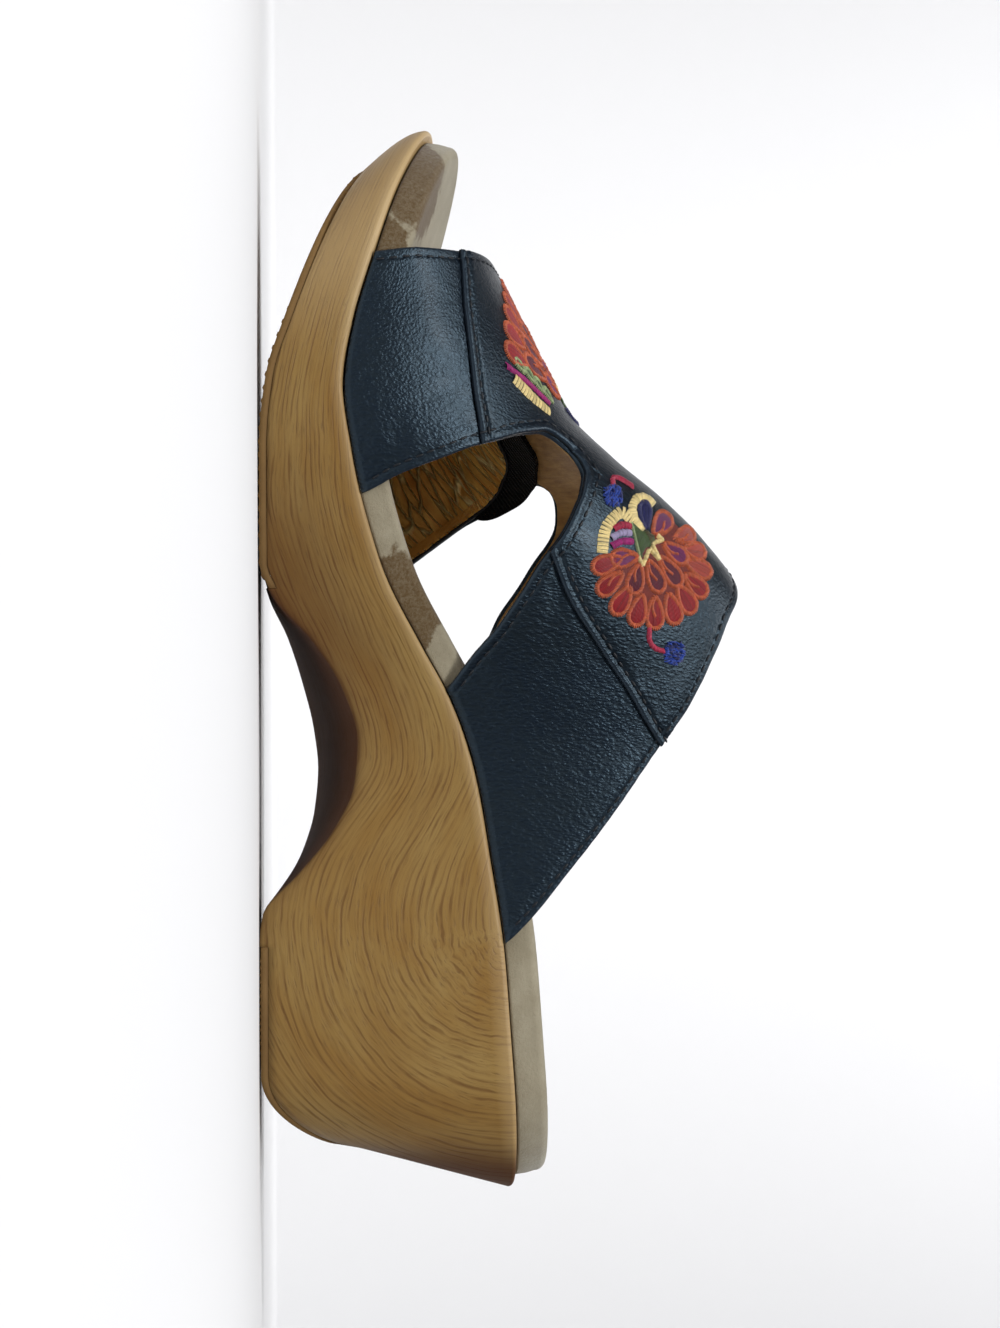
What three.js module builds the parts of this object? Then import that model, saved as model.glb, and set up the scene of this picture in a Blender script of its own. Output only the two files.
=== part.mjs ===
// A wedge-heeled slide sandal for the right foot, standing on its sole.
// Millimetres: +X runs to the toe, +Y to the inner (big toe) side and +Z up from the floor.
import * as THREE from "three";

// Sole sizes
const shoeLength = 244.3;
const ballWidth = 92;
const heelHeight = 58.6;
const platformHeight = 18.2;
const toeSpring = 29;
const archHeight = 22.3;
const heelRoundLength = 31;
const toeRoundLength = 46;
const heelBackTaper = 9.5;
const heelBevelLength = 20.5;
const heelBevelHeight = 19;
const toeTuck = 8;
const toeTuckCurve = 2.2;
const sideDraft = 1;
const soleEdgeRadius = 1.2;
const treadThickness = 2;

// Flex line of the toe spring: its slant across the shoe and where along it the slant sets in
const flexSlant = 0.42;
const flexStart = 0.5;
const flexEnd = 0.78;

// Footbed sizes
const footbedHeight = 7.2;
const footbedEdgeRadius = 2.4;
const footbedLean = 0.9;
const heelCupDepth = 2;
const heelCupStart = 0.3;
const heelCupEnd = 0.5;

// Upper sizes
const instepRise = 80;
const upperWall = 1.8;
const panelWall = 0.9;
const crestOffset = 6;
const innerRoundness = 2.2;
const outerRoundness = 2;
const goreWall = 1;
const goreReach = 1.5;
const goreEndSpace = 7;

// Space kept between pieces that meet, and a little more between faces that curve both ways
const gap = 0.3;
const curvedGap = 0.4;

// Fineness of the faces: steps along and across each piece
const soleSteps = 56;
const soleRows = 6;
const footbedSteps = 40;
const footbedRows = 8;
const vampSteps = 8;
const strapSteps = 11;
const goreSteps = 8;
const goreRows = 3;
const acrossSpacing = 0.062;
const endCrowding = 0.55;

// Plan of the sole: place as a share of the length, half width and bow as shares of the ball width
const planTable = [
  { at: 0.0, half: 0.335, bow: 0.0 },
  { at: 0.161, half: 0.335, bow: 0.0 },
  { at: 0.242, half: 0.33, bow: -0.005 },
  { at: 0.322, half: 0.325, bow: -0.015 },
  { at: 0.403, half: 0.33, bow: -0.02 },
  { at: 0.483, half: 0.36, bow: -0.02 },
  { at: 0.564, half: 0.42, bow: -0.02 },
  { at: 0.644, half: 0.478, bow: -0.015 },
  { at: 0.705, half: 0.495, bow: 0.0 },
  { at: 0.775, half: 0.47, bow: 0.03 },
  { at: 0.846, half: 0.42, bow: 0.055 },
  { at: 0.92, half: 0.405, bow: 0.078 },
  { at: 1.0, half: 0.4, bow: 0.09 },
];

// Side of the sole: rise as a share of heel over platform, top and under as shares of the toe spring
const sideTable = [
  { at: 0.0, rise: 1.0, top: 0.0, under: 0.0 },
  { at: 0.08, rise: 0.975, top: 0.0, under: 0.0 },
  { at: 0.161, rise: 0.94, top: 0.0, under: 0.0 },
  { at: 0.242, rise: 0.903, top: 0.0, under: 0.0 },
  { at: 0.322, rise: 0.832, top: 0.0, under: 0.0 },
  { at: 0.403, rise: 0.745, top: 0.0, under: 0.0 },
  { at: 0.463, rise: 0.625, top: 0.0, under: 0.0 },
  { at: 0.522, rise: 0.43, top: 0.0, under: 0.0 },
  { at: 0.58, rise: 0.205, top: 0.0, under: 0.0 },
  { at: 0.635, rise: 0.055, top: 0.0, under: 0.0 },
  { at: 0.68, rise: 0.0, top: 0.01, under: 0.045 },
  { at: 0.737, rise: 0.0, top: 0.09, under: 0.19 },
  { at: 0.805, rise: 0.0, top: 0.25, under: 0.39 },
  { at: 0.87, rise: 0.0, top: 0.41, under: 0.6 },
  { at: 0.926, rise: 0.0, top: 0.57, under: 0.8 },
  { at: 1.0, rise: 0.0, top: 0.79, under: 1.05 },
];

// Arch under the waist: height of its inner and outer edge as shares of the arch height
const archTable = [
  { at: 0.216, inner: 0.0, outer: 0.0 },
  { at: 0.247, inner: 0.0, outer: 0.07 },
  { at: 0.274, inner: 0.03, outer: 0.24 },
  { at: 0.312, inner: 0.4, outer: 0.455 },
  { at: 0.352, inner: 0.76, outer: 0.575 },
  { at: 0.393, inner: 0.965, outer: 0.61 },
  { at: 0.433, inner: 1.0, outer: 0.56 },
  { at: 0.478, inner: 0.855, outer: 0.44 },
  { at: 0.524, inner: 0.54, outer: 0.28 },
  { at: 0.559, inner: 0.18, outer: 0.1 },
  { at: 0.589, inner: 0.0, outer: 0.0 },
];

// Ridge line of the last above the sole's top edge, as shares of the instep rise
const crestTable = [
  { at: 0.2, up: 0.745 },
  { at: 0.3, up: 0.776 },
  { at: 0.41, up: 0.835 },
  { at: 0.5, up: 0.94 },
  { at: 0.545, up: 0.985 },
  { at: 0.573, up: 1.0 },
  { at: 0.61, up: 0.97 },
  { at: 0.65, up: 0.887 },
  { at: 0.688, up: 0.754 },
  { at: 0.726, up: 0.612 },
  { at: 0.764, up: 0.52 },
  { at: 0.802, up: 0.425 },
  { at: 0.84, up: 0.332 },
  { at: 0.879, up: 0.24 },
  { at: 0.91, up: 0.175 },
];

// Edges of the upper from its ridge, at 0, down to the sole, at 1, as shares of the length
const innerEdges = [
  { at: 0.0, toe: 0.862, vamp: 0.695, strap: 0.695, heel: 0.578 },
  { at: 0.15, toe: 0.869, vamp: 0.701, strap: 0.689, heel: 0.558 },
  { at: 0.27, toe: 0.873, vamp: 0.707, strap: 0.685, heel: 0.54 },
  { at: 0.4, toe: 0.875, vamp: 0.711, strap: 0.675, heel: 0.501 },
  { at: 0.53, toe: 0.876, vamp: 0.709, strap: 0.65, heel: 0.449 },
  { at: 0.64, toe: 0.876, vamp: 0.703, strap: 0.621, heel: 0.403 },
  { at: 0.72, toe: 0.876, vamp: 0.698, strap: 0.597, heel: 0.367 },
  { at: 0.79, toe: 0.876, vamp: 0.691, strap: 0.569, heel: 0.336 },
  { at: 0.86, toe: 0.875, vamp: 0.683, strap: 0.54, heel: 0.306 },
  { at: 0.93, toe: 0.873, vamp: 0.673, strap: 0.513, heel: 0.275 },
  { at: 1.0, toe: 0.871, vamp: 0.657, strap: 0.482, heel: 0.246 },
];
const outerEdges = [
  { at: 0.0, toe: 0.862, vamp: 0.695, strap: 0.695, heel: 0.578 },
  { at: 0.15, toe: 0.862, vamp: 0.693, strap: 0.679, heel: 0.557 },
  { at: 0.3, toe: 0.86, vamp: 0.687, strap: 0.67, heel: 0.531 },
  { at: 0.45, toe: 0.855, vamp: 0.679, strap: 0.655, heel: 0.478 },
  { at: 0.53, toe: 0.852, vamp: 0.667, strap: 0.628, heel: 0.446 },
  { at: 0.64, toe: 0.846, vamp: 0.65, strap: 0.595, heel: 0.399 },
  { at: 0.72, toe: 0.841, vamp: 0.637, strap: 0.567, heel: 0.363 },
  { at: 0.79, toe: 0.836, vamp: 0.621, strap: 0.542, heel: 0.332 },
  { at: 0.86, toe: 0.83, vamp: 0.603, strap: 0.511, heel: 0.301 },
  { at: 0.93, toe: 0.824, vamp: 0.584, strap: 0.483, heel: 0.27 },
  { at: 1.0, toe: 0.818, vamp: 0.564, strap: 0.455, heel: 0.24 },
];

// Where the side openings begin below the ridge, and the share over which their ends round off
const innerOpeningTop = 0.375;
const outerOpeningTop = 0.45;
const openingRound = 0.06;

// Seams of the top panel from the opening to the toe edge and to the heel edge
const seamTable = [
  { at: 0.0, toeward: 0.69, heelward: 0.69 },
  { at: 0.17, toeward: 0.645, heelward: 0.703 },
  { at: 0.41, toeward: 0.617, heelward: 0.681 },
  { at: 0.69, toeward: 0.587, heelward: 0.64 },
  { at: 1.0, toeward: 0.53, heelward: 0.585 },
];

// Band of the elastic gore on the outer side, between ridge and sole
const goreTop = 0.5;
const goreFoot = 0.68;

// Reach of the tread pieces along the sole, as shares of its length
const foreTreadStart = 0.572;
const foreTreadEnd = 0.953;
const heelTreadStart = 0.047;
const heelTreadEnd = 0.245;

// Smooth reading of a table column between its rows
function readTable(table, column, at) {
  const last = table.length - 1;
  if (at <= table[0].at) return table[0][column];
  if (at >= table[last].at) return table[last][column];
  let row = 0;
  while (at > table[row + 1].at) row += 1;
  const slope = (index) => {
    const rise = table[index + 1][column] - table[index][column];
    return rise / (table[index + 1].at - table[index].at);
  };
  const tangent = (index) => {
    if (index === 0) return slope(0);
    if (index === last) return slope(last - 1);
    const before = slope(index - 1);
    const after = slope(index);
    if (before * after <= 0) return 0;
    return (2 * before * after) / (before + after);
  };
  const span = table[row + 1].at - table[row].at;
  const t = (at - table[row].at) / span;
  const start = table[row][column];
  const end = table[row + 1][column];
  const bend = t * t * (3 - 2 * t);
  const lead = t * (1 - t) * (1 - t) * span * tangent(row);
  const trail = t * t * (1 - t) * span * tangent(row + 1);
  return start + (end - start) * bend + lead - trail;
}

// Ease from 0 to 1 between two places
function ease(from, to, at) {
  const t = THREE.MathUtils.clamp((at - from) / (to - from), 0, 1);
  return t * t * (3 - 2 * t);
}

// Factor that closes the plan in a round end, 0 at the tip and 1 from its length on
function roundEnd(fromTip, length) {
  const t = THREE.MathUtils.clamp(fromTip / length, 0, 1);
  return Math.sqrt(1 - (1 - t) * (1 - t));
}

// Plan edge of the sole, side 1 is the inner one and -1 the outer one
function planHalf(s) {
  const half = readTable(planTable, "half", s / shoeLength) * ballWidth;
  return half * roundEnd(s, heelRoundLength) * roundEnd(shoeLength - s, toeRoundLength);
}

function planMiddle(s) {
  return readTable(planTable, "bow", s / shoeLength) * ballWidth;
}

function planPoint(s, side, inset) {
  const step = 0.02;
  const y = planMiddle(s) + side * planHalf(s);
  const before = Math.max(s - step, 0);
  const after = Math.min(s + step, shoeLength);
  const yBefore = planMiddle(before) + side * planHalf(before);
  const yAfter = planMiddle(after) + side * planHalf(after);
  const inward = new THREE.Vector2(side * (yAfter - yBefore), -side * (after - before));
  if (s <= 0) inward.set(1, 0);
  if (s >= shoeLength) inward.set(-1, 0);
  inward.normalize();
  return { x: s + inward.x * inset, y: y + inward.y * inset };
}

// Heights of the sole's top edge and of the ground under it. The toe spring turns about a slanted line
function slanted(s, y) {
  return s - flexSlant * y * ease(flexStart * shoeLength, flexEnd * shoeLength, s);
}

function topHeight(s, y) {
  const at = slanted(s, y) / shoeLength;
  const rise = readTable(sideTable, "rise", at) * (heelHeight - platformHeight);
  return platformHeight + rise + readTable(sideTable, "top", at) * toeSpring;
}

function groundHeight(s, y) {
  const spring = readTable(sideTable, "under", slanted(s, y) / shoeLength) * toeSpring;
  const inner = readTable(archTable, "inner", s / shoeLength);
  const outer = readTable(archTable, "outer", s / shoeLength);
  const width = Math.max(2 * planHalf(s), gap);
  const share = THREE.MathUtils.clamp(0.5 + (y - planMiddle(s)) / width, 0, 1);
  const arch = (outer + (inner - outer) * share) * archHeight;
  const bevelEnd = heelBackTaper + sideDraft + heelBevelLength;
  const bevelShare = THREE.MathUtils.clamp((bevelEnd - s) / heelBevelLength, 0, 1);
  return spring + arch + heelBevelHeight * bevelShare * bevelShare;
}

// How far the side wall has drawn in at a depth from 0, the top edge, to 1, the ground
function wallInset(s, depth) {
  const heelShare = Math.max(1 - s / (2 * heelRoundLength), 0);
  const toeShare = Math.max(1 - (shoeLength - s) / toeRoundLength, 0);
  const heel = heelBackTaper * heelShare * heelShare * depth;
  return heel + toeTuck * toeShare * toeShare * depth ** toeTuckCurve + sideDraft * depth;
}

// Places along the sole from one end to the other, closer together in the round ends
function placesAlong(from, to, steps) {
  const places = [];
  for (let i = 0; i <= steps; i += 1) {
    const t = i / steps;
    const shift = (endCrowding * Math.sin(2 * Math.PI * t)) / (2 * Math.PI);
    places.push(from + (to - from) * (t - shift));
  }
  return places;
}

function meshFrom(name, points, triangles, material) {
  const geometry = new THREE.BufferGeometry();
  const flat = points.flatMap((point) => [point.x, point.y, point.z]);
  geometry.setAttribute("position", new THREE.Float32BufferAttribute(flat, 3));
  geometry.setIndex(triangles.flat());
  geometry.computeVertexNormals();
  const mesh = new THREE.Mesh(geometry, material);
  mesh.name = name;
  return mesh;
}

// A closed solid between loops stacked from its underside to its top, capped by rows across
function stackedSolid(name, places, levels, rows, floorHeight, roofHeight, material) {
  const points = [];
  const triangles = [];
  const last = places.length - 1;
  const add = (point) => points.push(point) - 1;
  const face = (a, b, c) => {
    if (a !== b && b !== c && c !== a) triangles.push([a, b, c]);
  };
  const loops = levels.map((level) => {
    const inner = places.map((s) => add(level(s, 1)));
    const outer = places.map((s, i) => (i === 0 || i === last ? inner[i] : add(level(s, -1))));
    return { inner, outer };
  });
  for (let k = 0; k + 1 < loops.length; k += 1) {
    const low = loops[k];
    const high = loops[k + 1];
    for (let i = 0; i < last; i += 1) {
      face(low.inner[i], high.inner[i], low.inner[i + 1]);
      face(low.inner[i + 1], high.inner[i], high.inner[i + 1]);
      face(low.outer[i], low.outer[i + 1], high.outer[i]);
      face(low.outer[i + 1], high.outer[i + 1], high.outer[i]);
    }
  }
  const cap = (loop, height, upward) => {
    const grid = places.map((s, i) => {
      const start = points[loop.inner[i]];
      const end = points[loop.outer[i]];
      const row = [loop.inner[i]];
      for (let j = 1; j < rows; j += 1) {
        if (i === 0 || i === last) {
          row.push(loop.inner[i]);
        } else {
          const x = THREE.MathUtils.lerp(start.x, end.x, j / rows);
          const y = THREE.MathUtils.lerp(start.y, end.y, j / rows);
          row.push(add({ x, y, z: height(x, y, s, 1 - (2 * j) / rows) }));
        }
      }
      row.push(loop.outer[i]);
      return row;
    });
    for (let i = 0; i < last; i += 1) {
      for (let j = 0; j < rows; j += 1) {
        const [a, b, c, d] = [grid[i][j], grid[i][j + 1], grid[i + 1][j], grid[i + 1][j + 1]];
        if (upward) {
          face(a, b, c);
          face(c, b, d);
        } else {
          face(a, c, b);
          face(c, d, b);
        }
      }
    }
  };
  cap(loops[0], floorHeight, false);
  cap(loops[loops.length - 1], roofHeight, true);
  return meshFrom(name, points, triangles, material);
}

// The place along the plan whose drawn-in wall foot lies at x
function wallFootPlace(x) {
  let low = 0;
  let high = shoeLength;
  for (let i = 0; i < 40; i += 1) {
    const middle = (low + high) / 2;
    if (planPoint(middle, 1, wallInset(middle, 1)).x < x) low = middle;
    else high = middle;
  }
  return (low + high) / 2;
}

// Height that the moulded unit leaves free for the tread pieces under it
const foreTreadReach = [foreTreadStart, foreTreadEnd].map((at) => wallFootPlace(at * shoeLength));
const heelTreadReach = [heelTreadStart, heelTreadEnd].map((at) => wallFootPlace(at * shoeLength));
const treadSpace = 2 * gap;

function treadRecess(s) {
  const over = ([start, end]) => s > start - treadSpace && s < end + treadSpace;
  return over(foreTreadReach) || over(heelTreadReach) ? treadThickness + gap : 0;
}

// Places of the sole's sections, with a pair at each end of a recess to make its step upright
function solePlaces() {
  const stepPlaces = [foreTreadReach, heelTreadReach].flatMap(([start, end]) => {
    const edges = [start - treadSpace, end + treadSpace];
    return edges.flatMap((edge) => [edge - gap / 10, edge + gap / 10]);
  });
  const clear = placesAlong(0, shoeLength, soleSteps).filter((s) =>
    stepPlaces.every((place) => Math.abs(place - s) > 2 * treadSpace || s === 0 || s === shoeLength),
  );
  return [...clear, ...stepPlaces].sort((a, b) => a - b);
}

function soleUnit() {
  const wallLevel = (depth) => (s, side) => {
    const { x, y } = planPoint(s, side, wallInset(s, depth));
    const top = topHeight(x, y) - soleEdgeRadius;
    const low = groundHeight(x, y) + treadRecess(s);
    return { x, y, z: THREE.MathUtils.lerp(top, low, depth) };
  };
  const edgeLevel = (turn) => (s, side) => {
    const { x, y } = planPoint(s, side, soleEdgeRadius * (1 - Math.cos(turn)));
    return { x, y, z: topHeight(x, y) - soleEdgeRadius * (1 - Math.sin(turn)) };
  };
  const levels = [1, 0.75, 0.5, 0.25, 0].map(wallLevel);
  levels.push(edgeLevel(Math.PI / 4), edgeLevel(Math.PI / 2));
  const floor = (x, y, s) => groundHeight(x, y) + treadRecess(s);
  return stackedSolid("sole_unit", solePlaces(), levels, soleRows, floor, topHeight, woodLook);
}

// A tread piece between two places along the sole, on the same sections as the recess above it
function treadPiece(name, [start, end]) {
  const inside = solePlaces().filter((s) => s > start + treadSpace && s < end - treadSpace);
  const places = [start, ...inside, end];
  const steps = places.length - 1;
  const rows = soleRows;
  const points = [];
  const triangles = [];
  const corner = (s, v, layer) => {
    const inner = planPoint(s, 1, wallInset(s, 1));
    const outer = planPoint(s, -1, wallInset(s, 1));
    const x = THREE.MathUtils.lerp(outer.x, inner.x, (v + 1) / 2);
    const y = THREE.MathUtils.lerp(outer.y, inner.y, (v + 1) / 2);
    return { x, y, z: groundHeight(x, y) + layer * treadThickness };
  };
  const index = (i, j, layer) => (i * (rows + 1) + j) * 2 + layer;
  const quad = (a, b, c, d) => triangles.push([a, b, d], [d, b, c]);
  for (let i = 0; i <= steps; i += 1) {
    for (let j = 0; j <= rows; j += 1) {
      const v = 1 - (2 * j) / rows;
      points.push(corner(places[i], v, 0), corner(places[i], v, 1));
    }
  }
  for (let i = 0; i < steps; i += 1) {
    for (let j = 0; j < rows; j += 1) {
      quad(index(i, j, 1), index(i, j + 1, 1), index(i + 1, j + 1, 1), index(i + 1, j, 1));
      quad(index(i, j + 1, 0), index(i, j, 0), index(i + 1, j, 0), index(i + 1, j + 1, 0));
    }
    quad(index(i, 0, 0), index(i, 0, 1), index(i + 1, 0, 1), index(i + 1, 0, 0));
    quad(index(i, rows, 0), index(i + 1, rows, 0), index(i + 1, rows, 1), index(i, rows, 1));
  }
  for (let j = 0; j < rows; j += 1) {
    quad(index(0, j, 0), index(0, j + 1, 0), index(0, j + 1, 1), index(0, j, 1));
    quad(index(steps, j, 0), index(steps, j, 1), index(steps, j + 1, 1), index(steps, j + 1, 0));
  }
  return meshFrom(name, points, triangles, treadRubber);
}

// Padded footbed with a rolled rim, just inside the upper
function footbed() {
  const inset = upperWall + 3 * gap;
  const rollStart = footbedHeight - footbedEdgeRadius;
  const level = (drawnIn, up) => (s, side) => {
    const { x, y } = planPoint(s, side, inset + drawnIn);
    return { x, y, z: topHeight(x, y) + curvedGap + up };
  };
  const levels = [level(0, 0), level(footbedLean / 3, rollStart / 2), level(footbedLean, rollStart)];
  for (const turn of [Math.PI / 6, Math.PI / 3, Math.PI / 2]) {
    const drawnIn = footbedLean + footbedEdgeRadius * (1 - Math.cos(turn));
    levels.push(level(drawnIn, rollStart + footbedEdgeRadius * Math.sin(turn)));
  }
  const floor = (x, y) => topHeight(x, y) + curvedGap;
  const roof = (x, y, s, v) => {
    const cup = heelCupDepth * (1 - ease(heelCupStart * shoeLength, heelCupEnd * shoeLength, s));
    return topHeight(x, y) + curvedGap + footbedHeight - cup * (1 - v * v);
  };
  const places = placesAlong(0, shoeLength, footbedSteps);
  return stackedSolid("footbed", places, levels, footbedRows, floor, roof, suede);
}

// Inner face of the upper: s runs along the shoe, across from -1, the outer sole edge, to 1, the inner one
function lastPoint(s, across) {
  const side = across < 0 ? -1 : 1;
  const roundness = side > 0 ? innerRoundness : outerRoundness;
  const edge = planMiddle(s) + side * (planHalf(s) - gap - upperWall);
  const base = topHeight(s, edge) + curvedGap;
  const crest = topHeight(s, 0) + readTable(crestTable, "up", s / shoeLength) * instepRise;
  const turn = ((1 - Math.abs(across)) * Math.PI) / 2;
  const out = Math.max(Math.cos(turn), 0) ** (2 / roundness);
  const up = Math.max(Math.sin(turn), 0) ** (2 / roundness);
  return new THREE.Vector3(s, THREE.MathUtils.lerp(crestOffset, edge, out), base + (crest - base) * up);
}

function layerPoint(s, across, height) {
  const ds = 0.2;
  const da = 0.004;
  const alongStep = lastPoint(s + ds, across).sub(lastPoint(s - ds, across));
  const low = Math.max(across - da, -1);
  const high = Math.min(across + da, 1);
  const acrossStep = lastPoint(s, high).sub(lastPoint(s, low));
  const normal = alongStep.cross(acrossStep).normalize();
  return lastPoint(s, across).addScaledVector(normal, height);
}

// Edges of the upper at a place across it
function edgePlace(across, column) {
  const table = across < 0 ? outerEdges : innerEdges;
  return readTable(table, column, Math.abs(across)) * shoeLength;
}

function openingEdge(across, column) {
  const top = across < 0 ? outerOpeningTop : innerOpeningTop;
  const vamp = edgePlace(across, "vamp");
  const strap = edgePlace(across, "strap");
  const width = (roundEnd(Math.abs(across) - top, openingRound) * (vamp - strap)) / 2;
  return (vamp + strap) / 2 + (column === "vamp" ? width : -width);
}

// Lines across the upper, closer together at the round ends of its openings
function acrossLines(limit) {
  const sideLines = (top) => {
    const lines = [0.2, 0.4, 0.6, 0.8].map((share) => share * top);
    lines.push(top, top + 0.05 * openingRound, top + 0.25 * openingRound);
    lines.push(top + 0.6 * openingRound, top + openingRound);
    const rest = limit - top - openingRound;
    const steps = Math.max(Math.round(rest / acrossSpacing), 3);
    for (let i = 1; i <= steps; i += 1) lines.push(top + openingRound + (rest * i) / steps);
    return lines;
  };
  const outer = sideLines(outerOpeningTop).map((across) => -across);
  return [...outer.reverse(), 0, ...sideLines(innerOpeningTop)];
}

// A wall between two layers over cells of the last, closed by a rim along every free edge
function shellSolid(name, cells, lowLayer, highLayer, material) {
  const keys = new Map();
  const lowPoints = [];
  const highPoints = [];
  const indexOf = ([s, across]) => {
    const key = `${s.toFixed(4)} ${across.toFixed(5)}`;
    if (!keys.has(key)) {
      keys.set(key, lowPoints.length);
      lowPoints.push(layerPoint(s, across, lowLayer));
      highPoints.push(layerPoint(s, across, highLayer));
    }
    return keys.get(key);
  };
  const faces = [];
  for (const cell of cells) {
    const [a, b, c, d] = cell.map(indexOf);
    if (a !== b && b !== c && c !== a) faces.push([a, b, c]);
    if (a !== c && c !== d && d !== a) faces.push([a, c, d]);
  }
  const edges = new Set(faces.flatMap(([a, b, c]) => [`${a} ${b}`, `${b} ${c}`, `${c} ${a}`]));
  const lift = lowPoints.length;
  const triangles = [];
  for (const [a, b, c] of faces) {
    triangles.push([a + lift, b + lift, c + lift], [a, c, b]);
    for (const [from, to] of [[a, b], [b, c], [c, a]]) {
      if (!edges.has(`${to} ${from}`)) {
        triangles.push([to + lift, from + lift, from], [to + lift, from, to]);
      }
    }
  }
  return meshFrom(name, [...lowPoints, ...highPoints], triangles, material);
}

// Cells between two edges, with the lines across given at each step
function bandCells(lines, steps, place) {
  const cells = [];
  for (let i = 0; i + 1 < lines.length; i += 1) {
    for (let k = 0; k < steps; k += 1) {
      const corners = [[i, k], [i, k + 1], [i + 1, k + 1], [i + 1, k]];
      cells.push(corners.map(([line, step]) => place(lines[line], step / steps)));
    }
  }
  return cells;
}

function between(from, to) {
  return (across, share) => [THREE.MathUtils.lerp(from(across), to(across), share), across];
}

function upper() {
  const lines = acrossLines(1);
  const vampEdge = (across) => openingEdge(across, "vamp");
  const strapEdge = (across) => openingEdge(across, "strap");
  const toeEdge = (across) => edgePlace(across, "toe");
  const heelEdge = (across) => edgePlace(across, "heel");
  const cells = [
    ...bandCells(lines, vampSteps, between(vampEdge, toeEdge)),
    ...bandCells(lines, strapSteps, between(heelEdge, strapEdge)),
  ];
  return shellSolid("upper", cells, 0, upperWall, leather);
}

// Top panel over vamp, bridge and strap, bounded by the two seams
function topPanel() {
  const seamAtOpening = seamTable[0].toeward;
  const lines = acrossLines(seamAtOpening);
  const seamShare = (column, share) => readTable(seamTable, column, share) / seamAtOpening;
  const vampPlace = (line, share) => {
    const across = line * seamShare("toeward", share);
    return [THREE.MathUtils.lerp(openingEdge(line, "vamp"), edgePlace(across, "toe"), share), across];
  };
  const strapPlace = (line, share) => {
    const across = line * seamShare("heelward", 1 - share);
    return [THREE.MathUtils.lerp(edgePlace(across, "heel"), openingEdge(line, "strap"), share), across];
  };
  const cells = [
    ...bandCells(lines, vampSteps, vampPlace),
    ...bandCells(lines, strapSteps, strapPlace),
  ];
  const low = upperWall + curvedGap;
  return shellSolid("top_panel", cells, low, low + panelWall, leather);
}

// Elastic gore inside the outer side of the vamp
function elasticGore() {
  const lines = [];
  for (let i = 0; i <= goreRows; i += 1) {
    lines.push(-THREE.MathUtils.lerp(goreFoot, goreTop, i / goreRows));
  }
  const back = (across) => openingEdge(across, "vamp") - goreReach;
  const front = (across) => edgePlace(across, "toe") - goreEndSpace;
  const cells = bandCells(lines, goreSteps, between(back, front));
  return shellSolid("elastic_gore", cells, -gap - goreWall, -gap, elastic);
}

const woodLook = new THREE.MeshStandardMaterial({ color: 0x94784a, roughness: 0.45, metalness: 0 });
const treadRubber = new THREE.MeshStandardMaterial({ color: 0x8a7046, roughness: 0.7, metalness: 0 });
const suede = new THREE.MeshStandardMaterial({ color: 0xa79e88, roughness: 0.95, metalness: 0 });
const leather = new THREE.MeshStandardMaterial({ color: 0x141b24, roughness: 0.4, metalness: 0 });
const elastic = new THREE.MeshStandardMaterial({ color: 0x0b0b0d, roughness: 0.85, metalness: 0 });

const sandal = new THREE.Group();
sandal.add(
  soleUnit(),
  treadPiece("forefoot_outsole", foreTreadReach),
  treadPiece("heel_top_piece", heelTreadReach),
  footbed(),
  upper(),
  topPanel(),
  elasticGore(),
);

// The origin lies on the floor under the middle of the whole shoe
const span = new THREE.Box3().setFromObject(sandal);
const centre = span.getCenter(new THREE.Vector3());
sandal.position.set(-centre.x, -centre.y, -span.min.z);

export default sandal;
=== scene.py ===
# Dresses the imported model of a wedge-heeled slide sandal, the right shoe, as it stands on a pale floor.
import bpy
import bmesh
import math
import numpy as np
from mathutils import Matrix, Vector, kdtree


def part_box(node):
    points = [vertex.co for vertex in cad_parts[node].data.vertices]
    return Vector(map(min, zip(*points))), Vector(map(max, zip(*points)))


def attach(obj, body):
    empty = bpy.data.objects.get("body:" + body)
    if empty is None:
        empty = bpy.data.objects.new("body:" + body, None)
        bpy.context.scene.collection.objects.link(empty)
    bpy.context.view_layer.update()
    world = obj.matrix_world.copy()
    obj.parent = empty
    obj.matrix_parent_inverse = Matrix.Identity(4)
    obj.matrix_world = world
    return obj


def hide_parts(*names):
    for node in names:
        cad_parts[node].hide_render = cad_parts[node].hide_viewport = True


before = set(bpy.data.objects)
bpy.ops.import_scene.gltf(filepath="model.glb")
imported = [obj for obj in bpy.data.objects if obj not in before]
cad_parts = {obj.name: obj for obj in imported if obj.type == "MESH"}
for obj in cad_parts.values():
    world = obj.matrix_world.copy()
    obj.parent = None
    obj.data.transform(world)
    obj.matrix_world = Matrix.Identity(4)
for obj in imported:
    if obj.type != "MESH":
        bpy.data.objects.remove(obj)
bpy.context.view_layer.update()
mm = 0.001

# Sizes of the sandal in millimetres. The station s runs from the heel, 0, to the toe
shoe = {
    "length": (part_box("sole_unit")[1].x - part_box("sole_unit")[0].x) / mm,
    "ballWidth": 92.0,
    "heelHeight": 58.6,
    "platformHeight": 18.2,
    "toeSpring": 29.0,
    "archHeight": 22.3,
    "heelRound": 31.0,
    "toeRound": 46.0,
    "heelBackTaper": 9.5,
    "heelBevelLength": 20.5,
    "heelBevelHeight": 19.0,
    "toeTuck": 8.0,
    "toeTuckCurve": 2.2,
    "sideDraft": 1.0,
    "edgeRadius": 1.2,
    "flexSlant": 0.42,
    "flexStart": 0.5,
    "flexEnd": 0.78,
    "gap": 0.3,
    "curvedGap": 0.4,
    "crowding": 0.9,  # how much closer stations lie at the heel's back and the toe's tip
}


def columns(names, rows):
    return {name: np.array(values) for name, values in zip(names.split(), zip(*rows))}


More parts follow.
